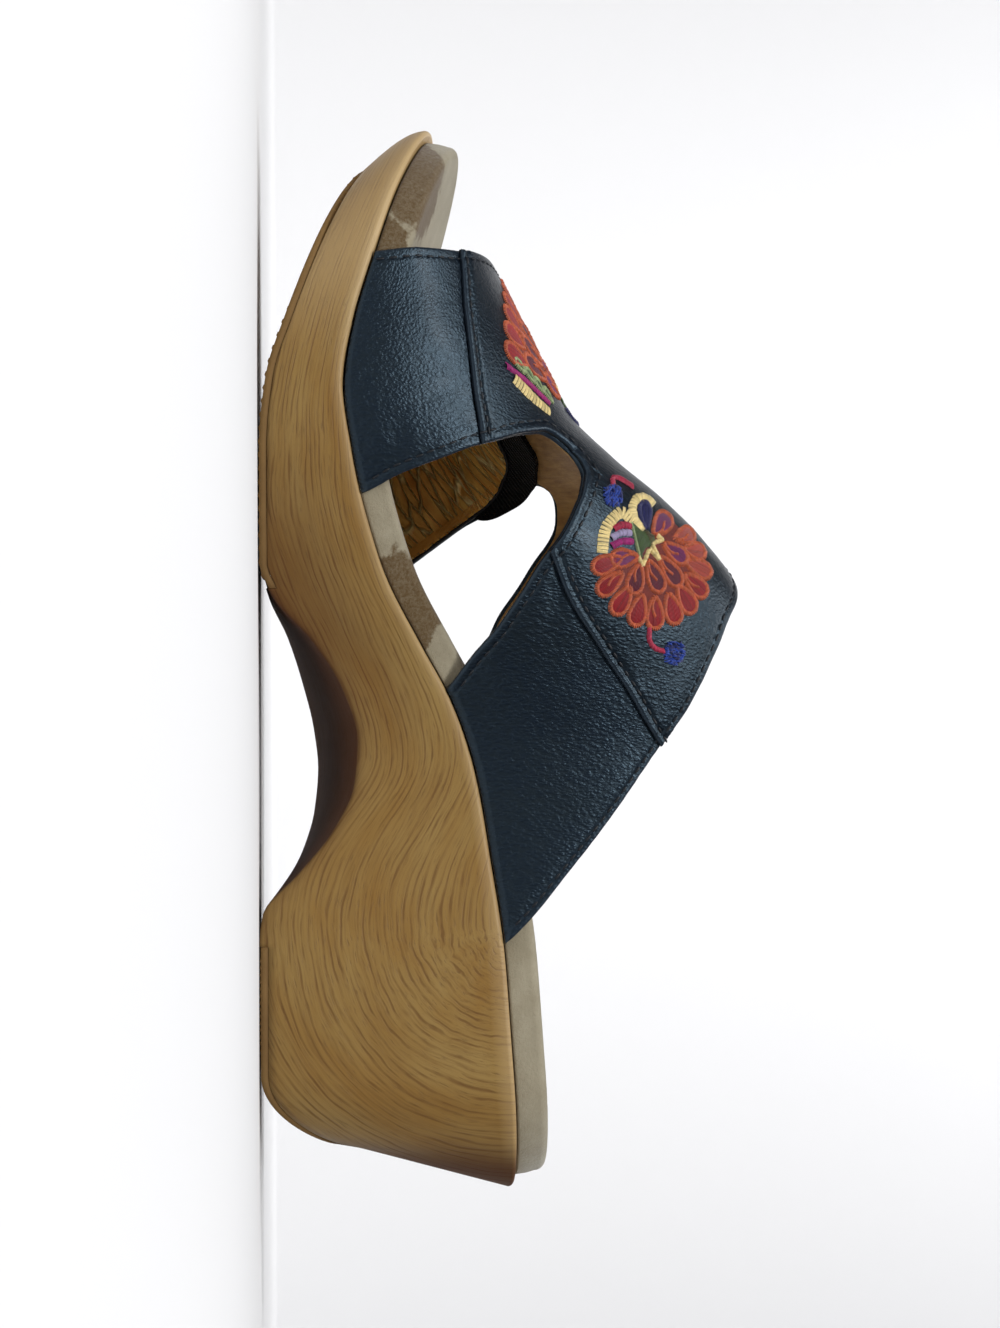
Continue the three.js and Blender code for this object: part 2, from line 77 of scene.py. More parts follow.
planTable = columns("at half bow", [
    (0.0, 0.335, 0.0),
    (0.161, 0.335, 0.0),
    (0.242, 0.33, -0.005),
    (0.322, 0.325, -0.015),
    (0.403, 0.33, -0.02),
    (0.483, 0.36, -0.02),
    (0.564, 0.42, -0.02),
    (0.644, 0.478, -0.015),
    (0.705, 0.495, 0.0),
    (0.775, 0.47, 0.03),
    (0.846, 0.42, 0.055),
    (0.92, 0.405, 0.078),
    (1.0, 0.4, 0.09),
])
sideTable = columns("at rise top under", [
    (0.0, 1.0, 0.0, 0.0),
    (0.08, 0.975, 0.0, 0.0),
    (0.161, 0.94, 0.0, 0.0),
    (0.242, 0.903, 0.0, 0.0),
    (0.322, 0.832, 0.0, 0.0),
    (0.403, 0.745, 0.0, 0.0),
    (0.463, 0.625, 0.0, 0.0),
    (0.522, 0.43, 0.0, 0.0),
    (0.58, 0.205, 0.0, 0.0),
    (0.635, 0.055, 0.0, 0.0),
    (0.68, 0.0, 0.01, 0.045),
    (0.737, 0.0, 0.09, 0.19),
    (0.805, 0.0, 0.25, 0.39),
    (0.87, 0.0, 0.41, 0.6),
    (0.926, 0.0, 0.57, 0.8),
    (1.0, 0.0, 0.79, 1.05),
])
archTable = columns("at inner outer", [
    (0.216, 0.0, 0.0),
    (0.247, 0.0, 0.07),
    (0.274, 0.03, 0.24),
    (0.312, 0.4, 0.455),
    (0.352, 0.76, 0.575),
    (0.393, 0.965, 0.61),
    (0.433, 1.0, 0.56),
    (0.478, 0.855, 0.44),
    (0.524, 0.54, 0.28),
    (0.559, 0.18, 0.1),
    (0.589, 0.0, 0.0),
])
crestTable = columns("at up", [
    (0.2, 0.745),
    (0.3, 0.776),
    (0.41, 0.835),
    (0.5, 0.94),
    (0.545, 0.985),
    (0.573, 1.0),
    (0.61, 0.97),
    (0.65, 0.887),
    (0.688, 0.754),
    (0.726, 0.612),
    (0.764, 0.52),
    (0.802, 0.425),
    (0.84, 0.332),
    (0.879, 0.24),
    (0.91, 0.175),
])
innerEdges = columns("at toe vamp strap heel", [
    (0.0, 0.862, 0.695, 0.695, 0.578),
    (0.15, 0.869, 0.701, 0.689, 0.558),
    (0.27, 0.873, 0.707, 0.685, 0.54),
    (0.4, 0.875, 0.711, 0.675, 0.501),
    (0.53, 0.876, 0.709, 0.65, 0.449),
    (0.64, 0.876, 0.703, 0.621, 0.403),
    (0.72, 0.876, 0.698, 0.597, 0.367),
    (0.79, 0.876, 0.691, 0.569, 0.336),
    (0.86, 0.875, 0.683, 0.54, 0.306),
    (0.93, 0.873, 0.673, 0.513, 0.275),
    (1.0, 0.871, 0.657, 0.482, 0.246),
])
outerEdges = columns("at toe vamp strap heel", [
    (0.0, 0.862, 0.695, 0.695, 0.578),
    (0.15, 0.862, 0.693, 0.679, 0.557),
    (0.3, 0.86, 0.687, 0.67, 0.531),
    (0.45, 0.855, 0.679, 0.655, 0.478),
    (0.53, 0.852, 0.667, 0.628, 0.446),
    (0.64, 0.846, 0.65, 0.595, 0.399),
    (0.72, 0.841, 0.637, 0.567, 0.363),
    (0.79, 0.836, 0.621, 0.542, 0.332),
    (0.86, 0.83, 0.603, 0.511, 0.301),
    (0.93, 0.824, 0.584, 0.483, 0.27),
    (1.0, 0.818, 0.564, 0.455, 0.24),
])
seamTable = columns("at toeward heelward", [
    (0.0, 0.69, 0.69),
    (0.17, 0.645, 0.703),
    (0.41, 0.617, 0.681),
    (0.69, 0.587, 0.64),
    (1.0, 0.53, 0.585),
])
upperCut = {
    "instepRise": 80.0,
    "wall": 1.8,
    "crestOffset": 6.0,
    "innerRoundness": 2.2,
    "outerRoundness": 2.0,
    "innerOpeningTop": 0.375,
    "outerOpeningTop": 0.45,
    "openingRound": 0.06,
}


def readTable(table, column, at):
    places = table["at"]
    values = table[column]
    slopes = np.diff(values) / np.diff(places)
    before, after = slopes[:-1], slopes[1:]
    turning = before * after <= 0
    total = np.where(turning, 1.0, before + after)
    middle = np.where(turning, 0.0, 2 * before * after / total)
    tangents = np.concatenate([slopes[:1], middle, slopes[-1:]])
    at = np.clip(at, places[0], places[-1])
    row = np.clip(np.searchsorted(places, at, side="right") - 1, 0, len(places) - 2)
    span = places[row + 1] - places[row]
    t = (at - places[row]) / span
    bend = t * t * (3 - 2 * t)
    lead = t * (1 - t) ** 2 * span * tangents[row]
    trail = t * t * (1 - t) * span * tangents[row + 1]
    return values[row] + (values[row + 1] - values[row]) * bend + lead - trail


def ease(low, high, at):
    t = np.clip((at - low) / (high - low), 0, 1)
    return t * t * (3 - 2 * t)


def roundEnd(fromTip, length):
    t = np.clip(fromTip / length, 0, 1)
    return np.sqrt(1 - (1 - t) ** 2)


def planHalf(s):
    half = readTable(planTable, "half", s / shoe["length"]) * shoe["ballWidth"]
    return half * roundEnd(s, shoe["heelRound"]) * roundEnd(shoe["length"] - s, shoe["toeRound"])


def planMiddle(s):
    return readTable(planTable, "bow", s / shoe["length"]) * shoe["ballWidth"]


def planEdge(s, side):
    return planMiddle(s) + side * planHalf(s)


def planPoint(s, side, inset):
    # a place on the sole's outline, drawn in square to it by the inset
    step = 0.02
    before = np.maximum(s - step, 0)
    after = np.minimum(s + step, shoe["length"])
    rise = side * (planEdge(after, side) - planEdge(before, side))
    run = -side * (after - before)
    rise = np.where(s <= 0, 1.0, np.where(s >= shoe["length"], -1.0, rise))
    run = np.where((s <= 0) | (s >= shoe["length"]), 0.0, run)
    size = np.hypot(rise, run)
    return s + rise / size * inset, planEdge(s, side) + run / size * inset


def bridged(first, second, share):
    # places across the shoe, from one edge to the other
    return [first[k] + (second[k] - first[k]) * share for k in (0, 1)]


def slanted(s, y):
    start, end = shoe["flexStart"] * shoe["length"], shoe["flexEnd"] * shoe["length"]
    return s - shoe["flexSlant"] * y * ease(start, end, s)


def topHeight(s, y):
    at = slanted(s, y) / shoe["length"]
    rise = readTable(sideTable, "rise", at) * (shoe["heelHeight"] - shoe["platformHeight"])
    return shoe["platformHeight"] + rise + readTable(sideTable, "top", at) * shoe["toeSpring"]


def groundHeight(s, y):
    spring = readTable(sideTable, "under", slanted(s, y) / shoe["length"]) * shoe["toeSpring"]
    inner = readTable(archTable, "inner", s / shoe["length"])
    outer = readTable(archTable, "outer", s / shoe["length"])
    width = np.maximum(2 * planHalf(s), shoe["gap"])
    share = np.clip(0.5 + (y - planMiddle(s)) / width, 0, 1)
    arch = (outer + (inner - outer) * share) * shoe["archHeight"]
    bevelEnd = shoe["heelBackTaper"] + shoe["sideDraft"] + shoe["heelBevelLength"]
    bevelShare = np.clip((bevelEnd - s) / shoe["heelBevelLength"], 0, 1)
    return spring + arch + shoe["heelBevelHeight"] * bevelShare ** 2


def wallInset(s, depth):
    heelShare = np.maximum(1 - s / (2 * shoe["heelRound"]), 0)
    toeShare = np.maximum(1 - (shoe["length"] - s) / shoe["toeRound"], 0)
    heel = shoe["heelBackTaper"] * heelShare ** 2 * depth
    toe = shoe["toeTuck"] * toeShare ** 2 * depth ** shoe["toeTuckCurve"]
    return heel + toe + shoe["sideDraft"] * depth


def crossSection(s, side):
    # edge, foot and crest of the last at a station
    edge = planMiddle(s) + side * (planHalf(s) - shoe["gap"] - upperCut["wall"])
    base = topHeight(s, edge) + shoe["curvedGap"]
    crest = topHeight(s, 0) + readTable(crestTable, "up", s / shoe["length"]) * upperCut["instepRise"]
    return edge, base, crest


def lastPoint(s, across):
    # across runs from -1, the outer foot of the last, over its crest at 0 to 1, the inner foot
    side = np.where(across < 0, -1.0, 1.0)
    roundness = np.where(side > 0, upperCut["innerRoundness"], upperCut["outerRoundness"])
    edge, base, crest = crossSection(s, side)
    turn = (1 - np.abs(across)) * np.pi / 2
    out = np.maximum(np.cos(turn), 0) ** (2 / roundness)
    up = np.maximum(np.sin(turn), 0) ** (2 / roundness)
    y = upperCut["crestOffset"] + (edge - upperCut["crestOffset"]) * out
    return np.stack([s + 0 * across, y, base + (crest - base) * up], axis=-1)


def surfaceNormal(s, across):
    ds, da = 0.2, 0.004
    along = lastPoint(s + ds, across) - lastPoint(s - ds, across)
    over = lastPoint(s, np.minimum(across + da, 1)) - lastPoint(s, np.maximum(across - da, -1))
    normal = np.cross(along, over)
    return normal / np.linalg.norm(normal, axis=-1, keepdims=True)


def layerPoint(s, across, height):
    return lastPoint(s, across) + surfaceNormal(s, across) * np.asarray(height)[..., None]


def edgePlace(across, column):
    inner = readTable(innerEdges, column, np.abs(across))
    outer = readTable(outerEdges, column, np.abs(across))
    return np.where(across < 0, outer, inner) * shoe["length"]


# Meshes are made in the shoe's own millimetres and moved to the frame at the end
outline = np.linspace(0, shoe["length"], 2001)
planSpan = np.concatenate([planEdge(outline, 1), planEdge(outline, -1)])
middleY = (planSpan.max() + planSpan.min()) / 2


def toFrame(points):
    return (np.asarray(points) - np.array([shoe["length"] / 2, middleY, 0])) * mm


def softNoise(u, v, size, seed):
    random = np.random.default_rng(seed)
    total = np.zeros(np.broadcast(u, v).shape)
    for _ in range(6):
        angle = random.uniform(0, 2 * np.pi)
        wave = random.uniform(0.7, 1.5) * 2 * np.pi / size
        total += np.sin((u * np.cos(angle) + v * np.sin(angle)) * wave + random.uniform(0, 2 * np.pi))
    return total / 6


def newPiece(name, data):
    piece = bpy.data.objects.new(name, data)
    bpy.context.scene.collection.objects.link(piece)
    return piece


mergeReach = 0.002 * mm
thinEdge = 0.001 * mm


def pieceFromGrids(name, grids, material):
    # each grid holds points by row and column, and any marks for the shaders
    points, quads, marks = [], [], {}
    names = sorted({key for grid in grids for key in grid if key != "points"})
    start = 0
    for grid in grids:
        rows, cols = grid["points"].shape[:2]
        index = np.arange(rows * cols).reshape(rows, cols)
        cells = np.stack([index[:-1, :-1], index[:-1, 1:], index[1:, 1:], index[1:, :-1]], axis=-1)
        cells = cells.reshape(-1, 4)
        points.append(grid["points"].reshape(-1, 3))
        quads.append(cells + start)
        for key in names:
            values = np.broadcast_to(grid.get(key, 0.0), (rows, cols)).reshape(-1)
            marks.setdefault(key, []).append(values[cells].reshape(-1))
        start += rows * cols
    mesh = bpy.data.meshes.new(name)
    mesh.from_pydata(toFrame(np.concatenate(points)), [], np.concatenate(quads).tolist())
    for key in names:
        layer = mesh.attributes.new(key, "FLOAT", "CORNER")
        layer.data.foreach_set("value", np.concatenate(marks[key]).astype(np.float32))
    shape = bmesh.new()
    shape.from_mesh(mesh)
    bmesh.ops.remove_doubles(shape, verts=shape.verts, dist=mergeReach)
    bmesh.ops.dissolve_degenerate(shape, edges=shape.edges, dist=thinEdge)
    bmesh.ops.recalc_face_normals(shape, faces=shape.faces)
    shape.to_mesh(mesh)
    shape.free()
    mesh.polygons.foreach_set("use_smooth", np.ones(len(mesh.polygons), dtype=bool))
    mesh.materials.append(material)
    return newPiece(name, mesh)


def finishPiece(piece, replaced=()):
    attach(piece, "root")
    if replaced:
        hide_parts(*replaced)
    print("made", piece.name, len(piece.data.polygons), "faces")


# Node helpers
def put(tree, kind, values=None, **settings):
    node = tree.nodes.new(kind)
    for key, value in settings.items():
        setattr(node, key, value)
    for key, value in (values or {}).items():
        if isinstance(value, bpy.types.NodeSocket):
            tree.links.new(value, node.inputs[key])
        else:
            node.inputs[key].default_value = value
    return node


def calc(tree, operation, *values):
    return put(tree, "ShaderNodeMath", dict(enumerate(values)), operation=operation).outputs[0]


def times(tree, first, second):
    return calc(tree, "MULTIPLY", first, second)


def plus(tree, first, second):
    return calc(tree, "ADD", first, second)


def vectorCalc(tree, operation, *values):
    return put(tree, "ShaderNodeVectorMath", dict(enumerate(values)), operation=operation).outputs


def noise(tree, vector, scale, detail=2.0, roughness=0.5):
    values = {"Vector": vector, "Scale": scale, "Detail": detail, "Roughness": roughness}
    return put(tree, "ShaderNodeTexNoise", values).outputs["Fac"]


def warped(tree, spot, scale, share):
    # moves a spot about by a soft noise
    warp = put(tree, "ShaderNodeTexNoise", {"Vector": spot, "Scale": scale, "Detail": 2.0}).outputs["Color"]
    shift = put(tree, "ShaderNodeVectorMath", {0: warp, "Scale": share}, operation="SCALE").outputs[0]
    return vectorCalc(tree, "ADD", spot, shift)[0]


def spread(tree, value, low, high, to=(0.0, 1.0)):
    values = {"Value": value, "From Min": low, "From Max": high, "To Min": to[0], "To Max": to[1]}
    return put(tree, "ShaderNodeMapRange", values).outputs["Result"]


def mixed(tree, factor, first, second, blend="MIX"):
    node = put(tree, "ShaderNodeMix", {0: factor, 6: first, 7: second}, data_type="RGBA", blend_type=blend)
    return node.outputs[2]


def mark(tree, name):
    return put(tree, "ShaderNodeAttribute", attribute_name=name).outputs["Fac"]


def vectorOf(tree, x, y, z=0.0):
    return put(tree, "ShaderNodeCombineXYZ", {"X": x, "Y": y, "Z": z}).outputs[0]


def place(tree):
    return put(tree, "ShaderNodeTexCoord").outputs["Object"]


def newMaterial(name, **sockets):
    # sets what is the same all over the surface
    material = bpy.data.materials.new(name)
    material.use_nodes = True
    tree = material.node_tree
    shader = tree.nodes["Principled BSDF"]
    for key, value in sockets.items():
        shader.inputs[key.replace("_", " ")].default_value = value
    return material, tree, shader


def dressUp(tree, shader, height, distance, **sources):
    # wires what changes over the surface, and a relief with its depth in metres
    for key, value in sources.items():
        tree.links.new(value, shader.inputs[key.replace("_", " ")])
    bump = put(tree, "ShaderNodeBump", {"Height": height, "Distance": distance, "Strength": 1.0})
    tree.links.new(bump.outputs[0], shader.inputs["Normal"])


def newGroup(name, kind, inputs, outputs):
    tree = bpy.data.node_groups.new(name, kind)
    for label, socketType, default in inputs:
        socket = tree.interface.new_socket(label, in_out="INPUT", socket_type="NodeSocket" + socketType)
        if default is not None:
            socket.default_value = default
    for label, socketType in outputs:
        tree.interface.new_socket(label, in_out="OUTPUT", socket_type="NodeSocket" + socketType)
    return tree, tree.nodes.new("NodeGroupInput").outputs, tree.nodes.new("NodeGroupOutput").inputs


def useGroup(tree, group, values):
    return put(tree, "ShaderNodeGroup", values, node_tree=group).outputs


def colour(red, green, blue):
    # screen values to the renderer's linear ones
    return tuple((value / 255) ** 2.2 for value in (red, green, blue)) + (1.0,)


# Grain of the hide: small pebbles drawn out one way, with finer pores between them
def makeHideGrain():
    inputs = [("Along", "Float", 0.0), ("Across", "Float", 0.0), ("Pebble", "Float", 0.9),
              ("Stretch", "Float", 0.6)]
    outputs = [("Height", "Float"), ("Tone", "Float")]
    tree, source, end = newGroup("hideGrain", "ShaderNodeTree", inputs, outputs)
    spot = vectorOf(tree, source["Along"], times(tree, source["Across"], source["Stretch"]))
    bent = warped(tree, spot, 0.8, 1.0)
    values = {"Vector": bent, "Scale": source["Pebble"], "Smoothness": 0.35}
    pebble = put(tree, "ShaderNodeTexVoronoi", values, feature="SMOOTH_F1").outputs["Distance"]
    fine = noise(tree, bent, times(tree, source["Pebble"], 2.6), 3.0, 0.6)
    cells = spread(tree, pebble, 0.15, 0.75, (1.0, 0.0))
    height = plus(tree, times(tree, cells, 0.7), times(tree, fine, 0.45))
    tree.links.new(height, end["Height"])
    broad = noise(tree, spot, 0.06, 3.0, 0.55)
    # tone: lighter on the raised pebbles, partly a painted highlight, plus broad random tone
    tree.links.new(plus(tree, times(tree, cells, 0.5), broad), end["Tone"])
    return tree


# Mottle of a napped or matt surface, for places in metres
def makeMottle():
    inputs = [("Vector", "Vector", None), ("Size", "Float", 1.0)]
    outputs = [("Fine", "Float"), ("Broad", "Float")]
    tree, source, end = newGroup("mottle", "ShaderNodeTree", inputs, outputs)
    for label, scale, roughness in (("Fine", 1500.0, 0.75), ("Broad", 90.0, 0.6)):
        size = calc(tree, "DIVIDE", scale, source["Size"])
        tree.links.new(noise(tree, source["Vector"], size, 4.0, roughness), end[label])
    return tree


hideGrain = makeHideGrain()
mottle = makeMottle()


# Leather of the sides and the top panel
leatherLook = {
    "dark": colour(7, 9, 13),
    "light": colour(18, 26, 38),
    "worn": colour(44, 52, 62),
    "highlight": (0.54, 0.79, 1.0, 1.0),
    "wear": (0.1, 1.0, (0.5, 0.0)),  # mm from an edge, and how much of it shows there
    "toneRange": (0.35, 1.15),
    "roughRange": (0.3, 1.2),
    "pebble": 1.6,
    "stretch": 0.8,
    "bump": 0.0001,
}


def makeLeather(name, lift, gloss, rough):
    material, tree, shader = newMaterial(name, Specular_IOR_Level=gloss, Coat_Weight=0.05,
                                         Coat_Roughness=0.25, Specular_Tint=leatherLook["highlight"])
    values = {"Along": mark(tree, "hideAlong"), "Across": mark(tree, "hideAcross"),
              "Pebble": leatherLook["pebble"], "Stretch": leatherLook["stretch"]}
    grain = useGroup(tree, hideGrain, values)
    wear = spread(tree, mark(tree, "edgeDistance"), *leatherLook["wear"])
    tone = times(tree, spread(tree, grain["Tone"], *leatherLook["toneRange"]), lift)
    # lighter where the tone is high: partly painted highlight on the raised pebbles, partly the hide's own
    # tone
    base = mixed(tree, tone, leatherLook["dark"], leatherLook["light"])
    base = mixed(tree, wear, base, leatherLook["worn"])
    dressUp(tree, shader, grain["Height"], leatherLook["bump"], Base_Color=base,
            Roughness=spread(tree, grain["Tone"], *leatherLook["roughRange"], rough))
    return material


# Moulded wedge with its printed wood grain
woodLook = {
    "base": colour(150, 122, 71),
    "warm": colour(136, 102, 50),
    "line": colour(98, 66, 32),
    "pore": colour(84, 56, 28),
    # painted shade: the colour mixed in where the wedge turns away from the light, at its foot, heel back,
    # arch and underside
    "shade": colour(80, 48, 22),
    # painted light: a paler colour mixed in under the rim, at the toe and on the top cap, where the light
    # falls strongest
    "pale": colour(190, 164, 122),
    "spacing": 1.3,  # mm from line to line
    "drift": (6.0, 0.7),  # mm that broad and fine waves bend the lines
    "streakStrength": 0.34,
    "lineStrength": 0.68,
    "poreStrength": 0.42,
    "rough": (0.46, 0.58),
    # roughness rises where the painted shade lies
    "paintedShadeRough": 0.3,
    "bump": 0.00005,
}


def makeWood():
    material, tree, shader = newMaterial("woodPrint", Specular_IOR_Level=0.26, Coat_Weight=0.03,
                                         Coat_Roughness=0.3)
    along = mark(tree, "grainAlong")
    across = mark(tree, "grainAcross")

    def drawnOut(over, alongScale, acrossScale, detail=3.0):
        spot = vectorOf(tree, times(tree, along, alongScale), times(tree, over, acrossScale))
        return noise(tree, spot, 1.0, detail, 0.6)

    bent = plus(tree, across, times(tree, drawnOut(across, 0.018, 0.06), woodLook["drift"][0]))
    bent = plus(tree, bent, times(tree, drawnOut(across, 0.09, 0.5, 2.0), woodLook["drift"][1]))
    turn = times(tree, bent, 2 * math.pi / woodLook["spacing"])
    ring = spread(tree, calc(tree, "SINE", turn), 0.25, 0.95)
    lines = times(tree, ring, spread(tree, drawnOut(bent, 0.07, 0.42), 0.4, 0.6))
    streaks = spread(tree, drawnOut(bent, 0.05, 2.4), 0.44, 0.7)
    pores = spread(tree, drawnOut(bent, 0.22, 3.6, 2.0), 0.58, 0.72)
    cloud = spread(tree, drawnOut(across, 0.02, 0.07), 0.35, 0.65)
    base = mixed(tree, cloud, woodLook["base"], woodLook["warm"])
    for mask, strength, tone in ((streaks, "streakStrength", "line"), (lines, "lineStrength", "line"),
                                 (pores, "poreStrength", "pore")):
        base = mixed(tree, times(tree, mask, woodLook[strength]), base, woodLook[tone])
    # mixes in the painted light and the painted shade that the wedge's marks carry
    for name in ("pale", "shade"):
        base = mixed(tree, mark(tree, name), base, woodLook[name])
    dark = calc(tree, "MAXIMUM", lines, pores)
    # rougher where the painted shade lies
    shadedRoughness = times(tree, mark(tree, "shade"), woodLook["paintedShadeRough"])
    rough = plus(tree, spread(tree, dark, 0.0, 1.0, woodLook["rough"]), shadedRoughness)
    dressUp(tree, shader, times(tree, dark, -1.0), woodLook["bump"], Base_Color=base, Roughness=rough)
    return material


# Suede of the footbed, with worn darker patches at listed places
suedeLook = {
    "base": colour(163, 155, 134),
    "deep": colour(138, 129, 108),
    "worn": colour(92, 73, 47),
    "napStrength": 0.35,
    "ragged": 260.0,
    "raggedReach": 0.9,
    "patchEdge": (1.5, 1.38),
    "speckle": 0.35,
    "bump": 0.00025,
}


def makeSuede(patches):
    material, tree, shader = newMaterial("suede", Specular_IOR_Level=0.15, Sheen_Weight=0.35,
                                         Sheen_Roughness=0.5, Roughness=0.95)
    spot = place(tree)
    nap = useGroup(tree, mottle, {"Vector": spot, "Size": 1.0})
    base = mixed(tree, spread(tree, nap["Broad"], 0.3, 0.7), suedeLook["base"], suedeLook["deep"])
    fine = spread(tree, nap["Fine"], 0.35, 0.7)
    base = mixed(tree, times(tree, fine, suedeLook["napStrength"]), base, suedeLook["deep"])
    ragged = noise(tree, spot, suedeLook["ragged"], 4.0, 0.65)
    worn = 0.0
    for patch in patches:
        away = vectorCalc(tree, "SUBTRACT", spot, patch["centre"])[0]
        away = vectorCalc(tree, "DIVIDE", away, patch["reach"])[0]
        reach = vectorCalc(tree, "LENGTH", away)["Value"]
        reach = plus(tree, reach, times(tree, ragged, suedeLook["raggedReach"]))
        worn = calc(tree, "MAXIMUM", worn, spread(tree, reach, *suedeLook["patchEdge"]))
    speckle = times(tree, spread(tree, nap["Fine"], 0.3, 0.62), suedeLook["speckle"])
    worn = times(tree, worn, plus(tree, speckle, 1 - suedeLook["speckle"]))
    base = mixed(tree, worn, base, suedeLook["worn"])
    height = plus(tree, nap["Fine"], times(tree, ragged, 0.6))
    dressUp(tree, shader, height, suedeLook["bump"], Base_Color=base)
    return material


# Metallic facing that has crinkled, and the brushed tan lining around it
liningLook = {
    "bright": colour(255, 208, 112),
    "dull": colour(222, 150, 66),
    # painted highlight: a bright colour laid along the crinkle lines
    "paintedGlint": colour(255, 236, 170),
    "tan": colour(204, 162, 104),
    "deepTan": colour(146, 108, 64),
    "crinkle": 1.5,
    "creaseWidth": 0.1,
    "goldMetal": (0.4, 0.3),
    "goldBump": 0.0009,
    "tanMetal": (0.12, 0.3),
    "tanBump": 0.0002,
}


def makeGoldLining():
    material, tree, shader = newMaterial("goldLining", Specular_IOR_Level=0.5, Roughness=0.3)
    along = mark(tree, "hideAlong")
    across = mark(tree, "hideAcross")
    # crinkles run mostly along the shoe, at a slant
    first = plus(tree, times(tree, along, 0.1), times(tree, across, 0.36))
    second = calc(tree, "SUBTRACT", times(tree, along, 0.06), times(tree, across, 0.03))
    bent = warped(tree, vectorOf(tree, first, second), 0.9, 0.45)
    fold = put(tree, "ShaderNodeTexVoronoi", {"Vector": bent, "Scale": liningLook["crinkle"]},
               feature="DISTANCE_TO_EDGE").outputs["Distance"]
    crease = spread(tree, fold, 0.0, liningLook["creaseWidth"], (1.0, 0.0))
    fine = noise(tree, bent, 1.2, 3.0, 0.55)
    base = mixed(tree, spread(tree, fine, 0.3, 0.7), liningLook["dull"], liningLook["bright"])
    # paints the highlight along the crinkles
    base = mixed(tree, crease, base, liningLook["paintedGlint"])
    height = plus(tree, crease, times(tree, fine, 0.5))
    dressUp(tree, shader, height, liningLook["goldBump"], Base_Color=base,
            Metallic=spread(tree, fine, 0.3, 0.7, liningLook["goldMetal"]))
    return material


def makeTanLining():
    material, tree, shader = newMaterial("tanLining", Specular_IOR_Level=0.3, Sheen_Weight=0.15,
                                         Roughness=0.52)
    along = mark(tree, "hideAlong")
    across = mark(tree, "hideAcross")
    brushed = noise(tree, vectorOf(tree, along, times(tree, across, 0.22)), 1.1, 4.0, 0.7)
    broad = noise(tree, vectorOf(tree, along, across), 0.12, 3.0, 0.6)
    tone = plus(tree, times(tree, brushed, 0.6), times(tree, broad, 0.5))
    base = mixed(tree, spread(tree, tone, 0.35, 0.75), liningLook["deepTan"], liningLook["tan"])
    dressUp(tree, shader, brushed, liningLook["tanBump"], Base_Color=base,
            Metallic=spread(tree, tone, 0.35, 0.75, liningLook["tanMetal"]))
    return material


# Black elastic, the treads' rubber, and the threads
elasticLook = {
    "dark": colour(3, 3, 4),
    "light": colour(15, 15, 17),
    "ribPitch": 0.8,
    "weavePitch": 0.5,
    "bump": 0.00012,
}
rubberLook = {
    "base": colour(148, 116, 70),
    "deep": colour(124, 94, 56),
    "dust": colour(98, 76, 46),
    # painted shade colour, mixed in on the tread's faces in the groove and underneath
    "shade": colour(66, 46, 28),
    "bump": 0.0001,
}
threadLook = {
    "dark": colour(8, 10, 13),
    "light": colour(30, 36, 44),
    "sewingBump": 0.00006,
    # painted shade between a floss's fibres
    "flossPaintedShade": 0.28,  # how dark it is between a floss's fibres
    "flossBump": 0.00008,
}


def makeElastic():
    material, tree, shader = newMaterial("elastic", Specular_IOR_Level=0.2, Sheen_Weight=0.08,
                                         Roughness=0.85)

    def wave(name, pitch):
        return calc(tree, "SINE", times(tree, mark(tree, name), 2 * math.pi / elasticLook[pitch]))

    height = plus(tree, wave("hideAcross", "ribPitch"), times(tree, wave("hideAlong", "weavePitch"), 0.5))
    # painted shade in the rib troughs, lighter on the crests
    base = mixed(tree, spread(tree, height, -1.2, 1.2), elasticLook["dark"], elasticLook["light"])
    dressUp(tree, shader, height, elasticLook["bump"], Base_Color=base)
    return material


def makeRubber():
    material, tree, shader = newMaterial("treadRubber", Specular_IOR_Level=0.3, Roughness=0.78)
    values = useGroup(tree, mottle, {"Vector": place(tree), "Size": 1.4})
    base = mixed(tree, spread(tree, values["Broad"], 0.3, 0.7), rubberLook["base"], rubberLook["deep"])
    base = mixed(tree, times(tree, values["Fine"], 0.3), base, rubberLook["dust"])
    # mixes in the painted shade
    base = mixed(tree, mark(tree, "shade"), base, rubberLook["shade"])
    dressUp(tree, shader, values["Fine"], rubberLook["bump"], Base_Color=base)
    return material


def makeFloss():
    # floss takes its colour from the stitches themselves
    material, tree, shader = newMaterial("floss", Specular_IOR_Level=0.4, Sheen_Weight=0.25, Roughness=0.5)
    tint = put(tree, "ShaderNodeAttribute", attribute_name="floss").outputs["Color"]
    fibre = noise(tree, place(tree), 2600.0, 2.0, 0.6)
    # darkens the tint as painted shade between the fibres
    dark = mixed(tree, spread(tree, fibre, 0.3, 0.75), tint, (0.0, 0.0, 0.0, 1.0))
    base = mixed(tree, 1 - threadLook["flossPaintedShade"], dark, tint)
    dressUp(tree, shader, fibre, threadLook["flossBump"], Base_Color=base)
    return material


def makeSewing():
    material, tree, shader = newMaterial("sewingThread", Specular_IOR_Level=0.4, Roughness=0.5)
    fibre = noise(tree, place(tree), 2400.0, 2.0, 0.6)
    base = mixed(tree, fibre, threadLook["dark"], threadLook["light"])
    dressUp(tree, shader, fibre, threadLook["sewingBump"], Base_Color=base)
    return material


leather = makeLeather("leather", 0.8, 0.56, (0.42, 0.29))
panelLeather = makeLeather("panelLeather", 0.6, 0.46, (0.42, 0.3))
wood = makeWood()
goldLining = makeGoldLining()
tanLining = makeTanLining()
elastic = makeElastic()
rubber = makeRubber()
floss = makeFloss()
sewing = makeSewing()
print("materials ready")


